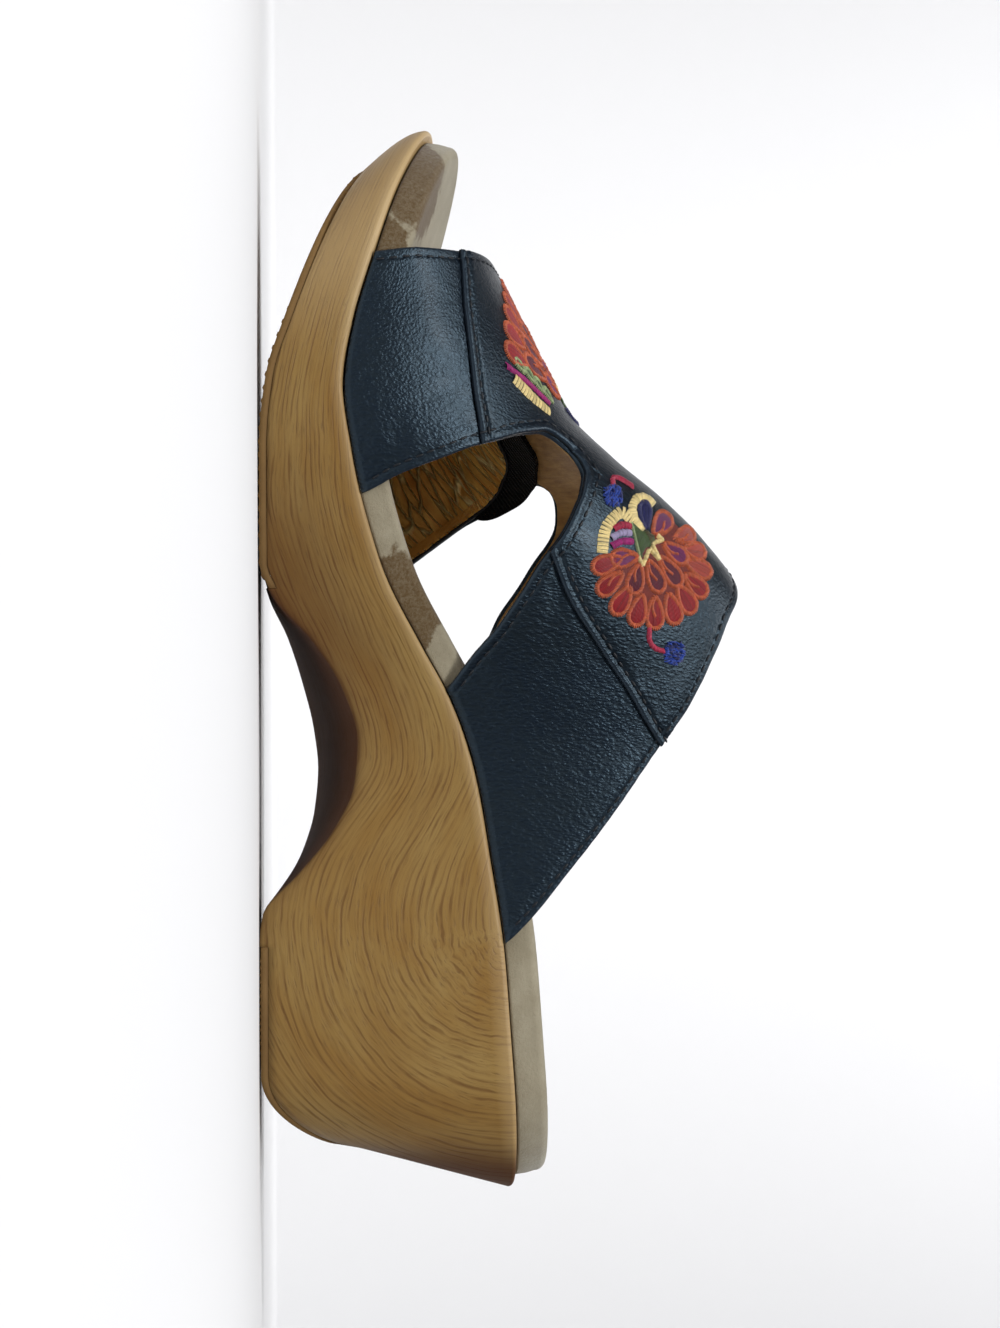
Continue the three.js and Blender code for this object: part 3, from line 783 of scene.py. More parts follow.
# Wedge
wedge = {
    "stations": 240,
    "wallLevels": 18,
    "edgeLevels": 6,
    "footRound": 0.8,
    "capRows": 16,
    "treadThickness": 2.0,
    "treadGroove": 0.06,
    "treadSpace": 0.08,
    "treadStep": 0.03,
    "foreTread": (0.572, 0.953),
    "heelTread": (0.047, 0.245),
    "footLevels": 5,
    "grainCentre": 63.0,
    "grainReach": 56.0,
    "grainSettle": 40.0,  # mm past the centre where the grain lies level again
    "grainSmooth": 22.0,
    "grainScale": (12.0, 0.6),  # mm, and share of the wall's height
    "grainTurn": 45.0,
    # painted shade on the print: at the wall's foot, at the heel's back and over the arch
    "footPaintedShade": (0.55, 1.6),  # strength, and height over the underside
    "heelPaintedShade": (0.95, 17.0, 6.0),  # strength, and the stations where it starts and is full
    "archPaintedShade": (0.5, 138.0, 26.0),  # strength, middle and reach
    # painted light on the print: under the rim, at the toe and on the top cap
    "rimPaintedLight": (0.4, 3.2, 0.4),  # strength, and depths under the rim
    "toePaintedLight": (0.42, 186.0, 216.0),
    "capPaintedLight": 0.35,
}


def wallFootPlace(x):
    low, high = 0.0, shoe["length"]
    for _ in range(40):
        middle = (low + high) / 2
        foot = planPoint(np.array([middle]), 1, wallInset(middle, 1))[0][0]
        low, high = (middle, high) if foot < x else (low, middle)
    return (low + high) / 2


foreReach = [wallFootPlace(at * shoe["length"]) for at in wedge["foreTread"]]
heelReach = [wallFootPlace(at * shoe["length"]) for at in wedge["heelTread"]]


def stationsAlong(count):
    t = np.linspace(0, 1, count)
    return (t - shoe["crowding"] * np.sin(2 * np.pi * t) / (2 * np.pi)) * shoe["length"]


def treadRecess(s):
    recess = np.zeros_like(s)
    for start, end in (foreReach, heelReach):
        inside = (s > start - wedge["treadSpace"]) & (s < end + wedge["treadSpace"])
        recess = np.where(inside, wedge["treadThickness"] + wedge["treadGroove"], recess)
    return recess


def grainMarks(s, y, z, high):
    # streaks follow the sole, then bend round a centre under the heel's rim
    centre = wedge["grainCentre"]
    shifts = np.linspace(-wedge["grainSmooth"], wedge["grainSmooth"], 9)
    low = np.mean([groundHeight(s + shift, y) for shift in shifts], axis=0)
    height = high - low * ease(centre, centre + wedge["grainSettle"], s)
    back = np.maximum(centre - s, 0) / wedge["grainReach"]
    down = (high - z) / height
    across = (1 - np.hypot(back, down)) * (wedge["grainScale"][0] + wedge["grainScale"][1] * height)
    turned = -np.arctan2(back, np.maximum(down, 0.02)) * wedge["grainTurn"]
    return np.where(s < centre, turned, s - centre), across


# painted shade, darker at the wall's foot, the heel's back and the arch, and painted light, paler under the
# rim and at the toe
def paintedLightAndShade(x, z, low, high):
    # how burnt and how pale the print is
    strength, reach = wedge["footPaintedShade"]
    paintedShade = strength * np.exp(-(z - low) / reach)
    strength, start, full = wedge["heelPaintedShade"]
    paintedShade = paintedShade + strength * ease(start, full, x)
    strength, middle, reach = wedge["archPaintedShade"]
    paintedShade = paintedShade + strength * np.exp(-((x - middle) / reach) ** 2) * ease(1.0, 0.3, (z - low) / (high - low))
    # painted light: paler under the rim and toward the toe
    strength, start, full = wedge["rimPaintedLight"]
    pale = strength * ease(high - start, high - full, z)
    strength, start, full = wedge["toePaintedLight"]
    return paintedShade, pale + strength * ease(start, full, x)


def makeWedge():
    edges = [edge for start, end in (foreReach, heelReach)
             for edge in (start - wedge["treadSpace"], end + wedge["treadSpace"])]
    steps = [edge + shift for edge in edges for shift in (-wedge["treadStep"], wedge["treadStep"])]
    s = np.sort(np.concatenate([stationsAlong(wedge["stations"]), steps]))
    grids, ends = [], {}
    for side in (1, -1):
        rows, marks = [], []

        def level(inset, heightAt):
            x, y = planPoint(s, side, inset)
            low, high = groundHeight(x, y), topHeight(x, y)
            z = np.maximum(heightAt(low, high), low + treadRecess(s))
            rows.append(np.stack([x, y, z], axis=-1))
            marks.append((*grainMarks(x, y, z, high), *paintedLightAndShade(x, z, low, high)))

        for turn in np.linspace(0, math.pi / 2, wedge["footLevels"]):
            extra = wedge["footRound"] * (1 - math.sin(turn))
            lift = wedge["footRound"] * (1 - math.cos(turn))
            level(wallInset(s, 1) + extra, lambda low, high: low + lift)
        for depth in np.linspace(1, 0, wedge["wallLevels"])[1:]:
            level(wallInset(s, depth), lambda low, high: high - shoe["edgeRadius"] + depth * (
                low + wedge["footRound"] - high + shoe["edgeRadius"]))
        for turn in np.linspace(0, math.pi / 2, wedge["edgeLevels"])[1:]:
            inset = shoe["edgeRadius"] * (1 - math.cos(turn))
            level(inset, lambda low, high: high - shoe["edgeRadius"] * (1 - math.sin(turn)))
        rows = np.array(rows)
        marks = np.array(marks)
        ends[side] = (rows[0], rows[-1])
        grids.append({"points": rows, "grainAlong": marks[:, 0], "grainAcross": marks[:, 1],
                      "shade": marks[:, 2], "pale": marks[:, 3]})
    share = np.linspace(0, 1, wedge["capRows"])[:, None]
    for cap in (0, 1):
        inner, outer = ends[1][cap], ends[-1][cap]
        x, y = bridged(inner.T, outer.T, share)
        z = topHeight(x, y) if cap else groundHeight(x, y) + treadRecess(s)
        z[0], z[-1] = inner[:, 2], outer[:, 2]
        # the underside cap is all painted shade, the top cap gets painted light
        grids.append({"points": np.stack([x, y, z], axis=-1), "grainAlong": x, "grainAcross": y + 90,
                      "shade": 0.0 if cap else 1.0, "pale": wedge["capPaintedLight"] if cap else 0.0})
    return pieceFromGrids("wedge", grids, wood)


finishPiece(makeWedge(), ["sole_unit"])


# Geometry node trees that sweep strands and lay stitches
def newTree(name, inputs):
    inputs = [("Geometry", "Geometry", None), *inputs, ("Material", "Material", None)]
    return newGroup(name, "GeometryNodeTree", inputs, [("Geometry", "Geometry")])


def endTree(tree, source, end, geometry):
    smooth = put(tree, "GeometryNodeSetShadeSmooth", {"Geometry": geometry})
    real = put(tree, "GeometryNodeRealizeInstances", {"Geometry": smooth.outputs[0]})
    values = {"Geometry": real.outputs[0], "Material": source["Material"]}
    dressed = put(tree, "GeometryNodeSetMaterial", values)
    tree.links.new(dressed.outputs[0], end[0])
    return tree


def makeStrandTree():
    # sweeps a round strand along every line of a mesh of edges
    tree, source, end = newTree("strands", [("Radius", "Float", 0.0002), ("Sides", "Int", 6)])
    line = put(tree, "GeometryNodeMeshToCurve", {"Mesh": source["Geometry"]})
    ring = put(tree, "GeometryNodeCurvePrimitiveCircle",
               {"Resolution": source["Sides"], "Radius": source["Radius"]}, mode="RADIUS")
    swept = put(tree, "GeometryNodeCurveToMesh",
                {"Curve": line.outputs[0], "Profile Curve": ring.outputs[0], "Fill Caps": True})
    return endTree(tree, source, end, swept.outputs[0])


def makeStitchTree():
    # lays drawn-out stitches along every line of a mesh of edges
    tree, source, end = newTree("stitches", [("Pitch", "Float", 0.0022), ("Long", "Float", 0.0008),
                                             ("Thick", "Float", 0.0003)])
    line = put(tree, "GeometryNodeMeshToCurve", {"Mesh": source["Geometry"]})
    spots = put(tree, "GeometryNodeCurveToPoints", {"Curve": line.outputs[0], "Length": source["Pitch"]},
                mode="LENGTH").outputs
    bead = put(tree, "GeometryNodeMeshUVSphere", {"Segments": 8, "Rings": 6, "Radius": 1.0})
    size = vectorOf(tree, source["Thick"], source["Thick"], source["Long"])
    laid = put(tree, "GeometryNodeInstanceOnPoints", {
        "Points": spots["Points"], "Instance": bead.outputs["Mesh"], "Rotation": spots["Rotation"],
        "Scale": size})
    return endTree(tree, source, end, laid.outputs[0])


strandTree = makeStrandTree()
stitchTree = makeStitchTree()


def lineObject(name, lines, colours=None):
    # each line is an array of points in millimetres
    points = toFrame(np.concatenate(lines))
    edges, start = [], 0
    for line in lines:
        index = np.arange(len(line) - 1) + start
        edges.append(np.stack([index, index + 1], axis=-1))
        start += len(line)
    mesh = bpy.data.meshes.new(name)
    mesh.from_pydata(points, np.concatenate(edges).tolist(), [])
    if colours is not None:
        layer = mesh.attributes.new("floss", "FLOAT_COLOR", "POINT")
        every = np.concatenate([np.tile(value, (len(line), 1)) for value, line in zip(colours, lines)])
        layer.data.foreach_set("color", every.astype(np.float32).reshape(-1))
    return newPiece(name, mesh)


def applyTree(piece, tree, values, material):
    modifier = piece.modifiers.new(tree.name, "NODES")
    modifier.node_group = tree
    keys = {item.name: item.identifier for item in tree.interface.items_tree if item.in_out == "INPUT"}
    for label, value in values.items():
        modifier[keys[label]] = value
    modifier[keys["Material"]] = material
    bpy.context.view_layer.update()
    evaluated = piece.evaluated_get(bpy.context.evaluated_depsgraph_get())
    mesh = bpy.data.meshes.new_from_object(evaluated)
    piece.modifiers.clear()
    piece.data = mesh
    if not mesh.materials:
        mesh.materials.append(material)
    return piece


def strands(name, lines, radius, sides, material, colours=None):
    values = {"Radius": radius * mm, "Sides": sides}
    return applyTree(lineObject(name, lines, colours), strandTree, values, material)


# Treads: thin slabs with ribs across their underside
tread = {
    "thickness": 2.0,
    "ribHeight": 0.34,
    "forePitch": 2.9,
    "heelPitch": 1.55,
    "rows": 14,
    "stations": 60,
    "inset": 0.08,
    "ribEnd": 0.5,
    "ribRadius": 0.32,  # share of the pitch
    "ribPoints": 24,
    "ribFade": {"foreTread": (196, 206), "heelTread": (40, 33)},
    "ribFrom": {"foreTread": 0, "heelTread": 32},
    # painted shade by face: most on the top in the groove, some underneath, rising up the rims toward the
    # groove
    "shades": {"top": 0.9, "base": 0.3, "rim": ((0.0,), (0.35,))},
}
slabRims = ((0, slice(None)), (-1, slice(None)), (slice(None), 0), (slice(None), -1))


def treadPlace(s, share, height):
    edges = [planPoint(s, side, wallInset(s, 1) + tread["inset"]) for side in (-1, 1)]
    x, y = bridged(*edges, share)
    return np.stack([x, y, groundHeight(x, y) + height], axis=-1)


def makeTread(name, reach, pitch, node):
    s = np.linspace(reach[0], reach[1], tread["stations"])
    share = np.linspace(0, 1, tread["rows"])[:, None]
    top = treadPlace(s, share, tread["thickness"])
    base = treadPlace(s, share, tread["ribHeight"])
    shades = tread["shades"]
    grids = [{"points": top, "shade": shades["top"]}, {"points": base, "shade": shades["base"]}]
    for edge in slabRims:
        grids.append({"points": np.stack([base[edge], top[edge]]), "shade": np.array(shades["rim"])})
    slab = pieceFromGrids(name, grids, rubber)
    radius = pitch * tread["ribRadius"]
    lines = []
    for k in range(int((reach[1] - reach[0] - pitch) / pitch)):
        at = np.full(tread["ribPoints"], reach[0] + pitch * (k + 1))
        if at[0] < tread["ribFrom"][name]:
            continue
        end = tread["ribEnd"] / planHalf(at[:1])[0] / 2
        sunk = tread["ribHeight"] * ease(*tread["ribFade"][name], at)
        lines.append(treadPlace(at, np.linspace(end, 1 - end, tread["ribPoints"]), radius + sunk))
    finishPiece(slab, [node])
    finishPiece(strands(name + "Ribs", lines, radius, 8, rubber))


makeTread("foreTread", foreReach, tread["forePitch"], "forefoot_outsole")
makeTread("heelTread", heelReach, tread["heelPitch"], "heel_top_piece")


# Footbed
footbed = {
    "height": 7.2,
    "edgeRadius": 2.4,
    "lean": 0.9,
    "cupDepth": 2.0,
    "cupStart": 0.3,
    "cupEnd": 0.5,
    "inset": upperCut["wall"] + 3 * shoe["gap"],
    "stations": 230,
    "rows": 36,
    "rollLevels": 9,
    "softness": 0.22,
    "rollWave": 26,
    "topWave": 34,
    "patches": [
        {"centre": (0.1080, 0.027, 0.0340), "reach": (0.0135, 0.019, 0.0080)},
        {"centre": (0.0880, 0.037, 0.0280), "reach": (0.0120, 0.008, 0.0058)},
        {"centre": (0.0125, 0.036, 0.0315), "reach": (0.0130, 0.011, 0.0100)},
    ],
}


def makeFootbed():
    s = stationsAlong(footbed["stations"])
    lean, rollStart = footbed["lean"], footbed["height"] - footbed["edgeRadius"]
    # how far the wall is drawn in, and how high
    steps = [(0, 0), (0.1, 0.6), (lean / 3, rollStart / 2), (lean * 0.7, rollStart * 0.8),
             (lean, rollStart)]
    for turn in np.linspace(0, math.pi / 2, footbed["rollLevels"])[1:]:
        steps.append((lean + footbed["edgeRadius"] * (1 - math.cos(turn)),
                      rollStart + footbed["edgeRadius"] * math.sin(turn)))
    grids, rims = [], {}
    for side in (1, -1):
        rows = []
        for drawnIn, up in steps:
            x, y = planPoint(s, side, footbed["inset"] + drawnIn)
            wave = softNoise(x, up * 3 + side * 40 + 0 * y, footbed["rollWave"], 5)
            soft = footbed["softness"] * wave * ease(0, rollStart, up)
            rows.append(np.stack([x, y + side * soft, topHeight(x, y) + shoe["curvedGap"] + up], axis=-1))
        rims[side] = (rows[0], rows[-1])
        grids.append({"points": np.array(rows)})
    share = np.linspace(0, 1, footbed["rows"])[:, None]
    over = 1 - 2 * share
    cup = 1 - ease(footbed["cupStart"] * shoe["length"], footbed["cupEnd"] * shoe["length"], s)
    for cap in (0, 1):
        inner, outer = rims[1][cap], rims[-1][cap]
        x, y = bridged(inner.T, outer.T, share)
        z = topHeight(x, y) + shoe["curvedGap"]
        if cap:
            hollow = footbed["cupDepth"] * cup * (1 - over ** 2)
            wave = footbed["softness"] * softNoise(x, y, footbed["topWave"], 8) * (1 - over ** 8)
            z = z + (footbed["height"] - hollow + wave)
        z[0], z[-1] = inner[:, 2], outer[:, 2]
        grids.append({"points": np.stack([x, y, z], axis=-1)})
    return pieceFromGrids("footbedPad", grids, makeSuede(footbed["patches"]))


footbedPad = makeFootbed()
finishPiece(footbedPad, ["footbed"])


# Upper: rows lie close together at the edges, where the leather rounds off and is stitched
upper = {
    "edgeRows": [0, 0.08, 0.2, 0.36, 0.56, 0.8, 1.1, 1.4, 1.65, 1.9, 2.15, 2.4, 2.7, 3.1],
    "fillRows": 22,
    "lineSpacing": 0.0125,
    "openingLines": [0.004, 0.015, 0.035, 0.07, 0.12, 0.18, 0.26, 0.36, 0.48, 0.62, 0.8, 1.0],
    "girth": 70.0,
    "edgeRound": 0.62,
    "leatherLow": 0.5,
    "stitchInset": 2.0,
    "grooveDepth": 0.16,
    "grooveWidth": 0.36,
    "softness": 0.16,
    "softWaves": ((1.0, 21, 3), (0.4, 8, 4)),  # share, size in mm and seed
    "calmEdge": 1.5,
    "liningHigh": 0.44,
    "liningInset": 0.9,
    "liningRipple": 0.1,
    "liningRound": 0.2,
    "ridgeAway": 1.9,  # a crease's raised lip: its place in widths, and its height
    "ridgeShare": 0.5,
    "creases": [
        {"from": (150.5, 0.63), "to": (143.0, 0.70), "width": 1.0, "depth": 0.28},
        {"from": (146.5, 0.655), "to": (136.0, 0.745), "width": 0.9, "depth": 0.22},
        {"from": (141.0, 0.70), "to": (129.0, 0.79), "width": 1.1, "depth": 0.2},
        {"from": (197.5, 0.60), "to": (199.0, 0.70), "width": 0.8, "depth": 0.16},
        {"from": (184.0, 0.66), "to": (181.0, 0.80), "width": 1.2, "depth": 0.14},
        {"from": (176.0, 0.88), "to": (166.0, 0.93), "width": 1.4, "depth": 0.2},
        {"from": (133.0, 0.93), "to": (118.0, 0.95), "width": 1.8, "depth": 0.25},
        {"from": (148.0, -0.60), "to": (135.0, -0.74), "width": 1.1, "depth": 0.25},
        {"from": (190.0, -0.58), "to": (186.0, -0.75), "width": 1.1, "depth": 0.18},
        {"from": (160.0, -0.88), "to": (150.0, -0.93), "width": 1.4, "depth": 0.2},
    ],
}


def acrossLines(limit, edgeFine=0.0):
    def oneSide(top):
        lines = list(np.arange(upper["lineSpacing"], top, upper["lineSpacing"])) + [top]
        lines += [top + share * upperCut["openingRound"] for share in upper["openingLines"]]
        start = top + upperCut["openingRound"]
        count = int((limit - start) / upper["lineSpacing"])
        lines += list(np.linspace(start, limit, count + 1)[1:])
        if edgeFine:
            lines = [line for line in lines if line < limit - edgeFine / upper["girth"] - 0.004]
            lines += [limit - row / upper["girth"] for row in upper["edgeRows"] if row <= edgeFine]
        return np.array(sorted(lines))

    outer = oneSide(upperCut["outerOpeningTop"])
    inner = oneSide(upperCut["innerOpeningTop"])
    return np.concatenate([-outer[::-1], [0.0], inner])


def bandRows(start, end):
    # places from one edge to the other, fine at both
    ends = np.array(upper["edgeRows"])[:, None]
    way = np.sign(end - start)
    length = np.abs(end - start)
    middle = np.linspace(0, 1, upper["fillRows"] + 2)[1:-1, None]
    inside = ends[-1] + (length - 2 * ends[-1]) * middle
    rows = np.concatenate([ends + 0 * length, inside, length - ends[::-1]])
    return start + way * rows


def treeOf(points):
    tree = kdtree.KDTree(len(points))
    for number, point in enumerate(points):
        tree.insert(Vector(point), number)
    tree.balance()
    return tree


def distanceTo(tree, points):
    flat = points.reshape(-1, 3)
    found = np.array([tree.find(Vector(point))[2] for point in flat])
    return found.reshape(points.shape[:-1])


def rounding(distance, radius):
    return radius - np.sqrt(np.maximum(radius ** 2 - np.maximum(radius - distance, 0) ** 2, 0))


def creaseRelief(s, across):
    relief = 0
    for share, size, seed in upper["softWaves"]:
        relief = relief + share * upper["softness"] * softNoise(s, across * upper["girth"], size, seed)
    for crease in upper["creases"]:
        start = np.array([crease["from"][0], crease["from"][1] * upper["girth"]])
        run = np.array([crease["to"][0], crease["to"][1] * upper["girth"]]) - start
        x, y = s - start[0], across * upper["girth"] - start[1]
        share = np.clip((x * run[0] + y * run[1]) / (run @ run), 0, 1)
        away = np.hypot(x - share * run[0], y - share * run[1])
        fade = np.sin(np.pi * np.clip(share, 0.02, 0.98)) ** 0.5
        trough = np.exp(-(away / crease["width"]) ** 2)
        ridge = np.exp(-((away - upper["ridgeAway"] * crease["width"]) / crease["width"]) ** 2)
        relief += crease["depth"] * fade * (upper["ridgeShare"] * ridge - trough)
    return relief


def groove(distance, inset, depth, width):
    return -depth * np.exp(-((distance - inset) / width) ** 2)


def openingEdge(across, column, inset=0.0):
    # edge of a side cut-out, or a line that lies back from it by an inset
    top = np.where(across < 0, upperCut["outerOpeningTop"], upperCut["innerOpeningTop"])
    vamp, strap = edgePlace(across, "vamp") + inset, edgePlace(across, "strap") - inset
    rounded = roundEnd(np.abs(across) - top + inset / upper["girth"], upperCut["openingRound"])
    width = rounded * (vamp - strap) / 2
    return (vamp + strap) / 2 + (width if column == "vamp" else -width)


def openingPath(side, limit, inset, count):
    # from the foot of the vamp edge up round the top and down the strap edge
    top = upperCut["outerOpeningTop" if side < 0 else "innerOpeningTop"] - inset / upper["girth"]
    rise = side * (top + (limit - top) * np.linspace(0, 1, count) ** 2)
    s = np.concatenate([openingEdge(rise[::-1], "vamp", inset), openingEdge(rise, "strap", inset)[1:]])
    return s, np.concatenate([rise[::-1], rise[1:]])


def freeEdges():
    # points along the toe, heel and opening edges
    line = np.linspace(-1, 1, 900)
    parts = [lastPoint(edgePlace(line, column), line) for column in ("toe", "heel")]
    parts += [lastPoint(*openingPath(side, 1.0, 0.0, 700)) for side in (1, -1)]
    return treeOf(np.concatenate(parts))


edgeTree = freeEdges()


def sheetGrids(lines, bands, low, high, topAt, others=None):
    # a closed wall over two bands, the vamp and the strap. low and high give the layers' heights
    grids = []
    edges = {}
    for name, (s, across) in bands.items():
        flat = lastPoint(s, across)
        away = distanceTo(edgeTree, flat)
        nearest = np.minimum(away, distanceTo(others, flat)) if others else away
        marks = {"hideAlong": s, "hideAcross": across * upper["girth"], "edgeDistance": nearest}
        for layer, height in (("low", low(s, across, away)), ("high", high(s, across, away))):
            points = layerPoint(s, across, height)
            grids.append({"points": points, **marks})
            edges[name, layer] = points
        edges[name, "marks"] = marks

    def rim(name, rows, cols):
        marks = {key: np.stack([value[rows, cols]] * 2) for key, value in edges[name, "marks"].items()}
        marks["edgeDistance"] = 0 * marks["edgeDistance"]
        walls = [edges[name, layer][rows, cols] for layer in ("low", "high")]
        grids.append({"points": np.stack(walls), **marks})

    firstTop, lastTop = (int(np.argmin(np.abs(lines - top))) for top in topAt)
    every = slice(None)
    for name, free, opening in (("vamp", -1, 0), ("strap", 0, -1)):
        rim(name, free, every)
        rim(name, opening, slice(0, firstTop + 1))
        rim(name, opening, slice(lastTop, None))
        rim(name, every, 0)
        rim(name, every, -1)
    return grids


def makeUpper(name, low, high, inset, material):
    shift = inset / upper["girth"]
    tops = (-upperCut["outerOpeningTop"] + shift, upperCut["innerOpeningTop"] - shift)
    lines = acrossLines(1.0)
    if inset:
        lines = np.sort(np.concatenate([lines, tops]))
    bands = {
        "vamp": bandRows(openingEdge(lines, "vamp", inset), edgePlace(lines, "toe") - inset),
        "strap": bandRows(edgePlace(lines, "heel") + inset, openingEdge(lines, "strap", inset)),
    }
    bands = {key: (s, lines + 0 * s) for key, s in bands.items()}
    return pieceFromGrids(name, sheetGrids(lines, bands, low, high, tops), material)


def leatherTop(s, across, away):
    fade = 1 - np.exp(-away / upper["calmEdge"])
    height = upperCut["wall"] - rounding(away, upper["edgeRound"]) + fade * creaseRelief(s, across)
    return height + groove(away, upper["stitchInset"], upper["grooveDepth"], upper["grooveWidth"])


def leatherBase(s, across, away):
    return upper["leatherLow"] + rounding(away, 0.5 * upper["edgeRound"])


upperLeather = makeUpper("upperLeather", leatherBase, leatherTop, 0.0, leather)
finishPiece(upperLeather, ["upper"])


def liningTop(s, across, away):
    return upper["liningHigh"] - rounding(np.maximum(away - upper["liningInset"], 0), upper["liningRound"])


def liningBase(s, across, away):
    ripple = upper["liningRipple"] * softNoise(s, across * upper["girth"] * 0.35, 5, 11)
    return ripple * ease(1.0, 3.0, away)


upperLining = makeUpper("upperLining", liningBase, liningTop, upper["liningInset"], tanLining)
finishPiece(upperLining)


# Top panel: folded and stitched along its seams
panel = {
    "low": 1.88,
    "high": 3.1,
    "edgeRound": 0.7,
    "beadInset": 1.65,
    "grooveDepth": 0.36,
    "grooveWidth": 0.42,
    "puckerPitch": 2.2,
    "puckerDepth": 0.14,
    "puckerInset": 2.3,
    "puckerWidth": 0.7,
    "puckerStretch": 1.02,
    "creaseShare": 0.7,
    "calmEdge": 2.0,
    "edgeFine": 3.2,
    "bandLength": 40.0,  # mm that the fine rows at the edges are spaced for
}


def seamPath(column, side, count=240):
    # from the opening to the toe or heel edge
    share = np.linspace(0, 1, count)
    across = side * readTable(seamTable, column, share)
    atOpening = np.full(count, side * seamTable[column][0])
    opening, free = ("vamp", "toe") if column == "toeward" else ("strap", "heel")
    start = openingEdge(atOpening, opening)
    return start + (edgePlace(across, free) - start) * share, across


seamTree = treeOf(np.concatenate([lastPoint(*seamPath(column, side, 700))
                                  for column in ("toeward", "heelward") for side in (1, -1)]))


def panelTop(s, across, away):
    seam = distanceTo(seamTree, lastPoint(s, across))
    nearest = np.minimum(away, seam)
    turns = (s * panel["puckerStretch"] + across * upper["girth"]) / panel["puckerPitch"]
    nearSeam = np.exp(-((seam - panel["puckerInset"]) / panel["puckerWidth"]) ** 2)
    pucker = panel["puckerDepth"] * np.cos(2 * np.pi * turns) * nearSeam
    crease = panel["creaseShare"] * (1 - np.exp(-nearest / panel["calmEdge"])) * creaseRelief(s, across)
    height = panel["high"] - rounding(nearest, panel["edgeRound"]) + crease
    height += groove(seam, panel["beadInset"], panel["grooveDepth"], panel["grooveWidth"])
    height += groove(away, upper["stitchInset"], upper["grooveDepth"], upper["grooveWidth"])
    return height + pucker


def panelBase(s, across, away):
    return panel["low"] + 0 * s


def makePanel():
    limit = seamTable["toeward"][0]
    lines = acrossLines(limit, panel["edgeFine"])
    length = np.full_like(lines, panel["bandLength"])
    rows = bandRows(0 * length, length) / panel["bandLength"]
    across = lines * readTable(seamTable, "toeward", rows) / limit
    start = openingEdge(lines, "vamp")
    bands = {"vamp": (start + (edgePlace(across, "toe") - start) * rows, across)}
    across = lines * readTable(seamTable, "heelward", 1 - rows) / limit
    start = edgePlace(across, "heel")
    bands["strap"] = (start + (openingEdge(lines, "strap") - start) * rows, across)
    tops = (-upperCut["outerOpeningTop"], upperCut["innerOpeningTop"])
    grids = sheetGrids(lines, bands, panelBase, panelTop, tops, seamTree)
    return pieceFromGrids("topPanel", grids, panelLeather)


topPanel = makePanel()
finishPiece(topPanel, ["top_panel"])


# Elastic band inside the outer side of the vamp, and the lined facing over its lower half
gore = {
    "rows": 60,
    "cols": 26,
    "wall": 1.0,
    "reach": 1.5,
    "endSpace": 7.0,
    "corner": 3.0,
}
facing = {
    "rows": 70,
    "cols": 48,
    "wall": 0.8,
    "reach": -0.35,
    "endSpace": 8.0,
    "corner": 5.0,
    "foot": 0.905,
    "space": 0.14,
    "overGore": (-0.08, -0.01),
    "ripple": 0.14,
    "pipingRadius": 0.5,
    "foldReach": (0.6, 1.5, 2.4),
    "foldHeight": (0.1, 0.22, 0.1),
    "foldRadius": 0.16,
}
bandShape = {
    "startGuess": 0.66,
    "rounds": 12,
    "bow": 0.45,
    "crowding": 1.3,
}
goreTable = columns("at upper lower facing", [
    (0.62, 0.6, 0.71, 0.7),
    (0.65, 0.54, 0.69, 0.642),
    (0.685, 0.425, 0.62, 0.532),
    (0.71, 0.345, 0.58, 0.465),
    (0.76, 0.32, 0.55, 0.44),
    (0.86, 0.36, 0.56, 0.44),
])


def slabGrids(s, across, low, high):
    # a closed slab from one grid of places and its two heights
    flat = {"hideAlong": s, "hideAcross": across * upper["girth"], "edgeDistance": 0 * s + 4.0}
    points = {"low": layerPoint(s, across, low), "high": layerPoint(s, across, high)}
    grids = [{"points": points["low"], **flat}, {"points": points["high"], **flat}]
    for edge in slabRims:
        rim = {key: np.stack([value[edge]] * 2) for key, value in flat.items()}
        grids.append({"points": np.stack([points["low"][edge], points["high"][edge]]), **rim})
    return grids


def goreLine(column):
    return lambda s: -readTable(goreTable, column, s / shoe["length"])


def bandPlaces(band, top, foot):
    # rows run from the opening's edge to the toe, columns from foot to top, with a rounded rear corner
    share = np.linspace(0, 1, band["cols"])
    s = np.full(band["cols"], bandShape["startGuess"] * shoe["length"])
    for _ in range(bandShape["rounds"]):
        across = foot(s) + (top(s) - foot(s)) * share
        down = np.abs(top(s) - across) * upper["girth"]
        corner = band["corner"] * (1 - roundEnd(down + 1e-6, band["corner"]))
        back = openingEdge(across, "vamp") - band["reach"] + corner
        if band["reach"] > 0:
            back = back + 2 * band["reach"] * (1 - roundEnd(share + 1e-6, bandShape["bow"]))
        s = 0.5 * s + 0.5 * back
    end = edgePlace(across, "toe") - band["endSpace"]
    along = back + (end - back) * np.linspace(0, 1, band["rows"])[:, None] ** bandShape["crowding"]
    return along, foot(along) + (top(along) - foot(along)) * share


def makeGore():
    s, across = bandPlaces(gore, goreLine("upper"), goreLine("lower"))
    low = np.full(s.shape, -shoe["gap"] - gore["wall"])
    return pieceFromGrids("goreBand", slabGrids(s, across, low, low + gore["wall"]), elastic)


def facingBase(s, across):
    over = ease(*facing["overGore"], across - goreLine("lower")(s))
    return -facing["space"] - (shoe["gap"] + gore["wall"]) * over


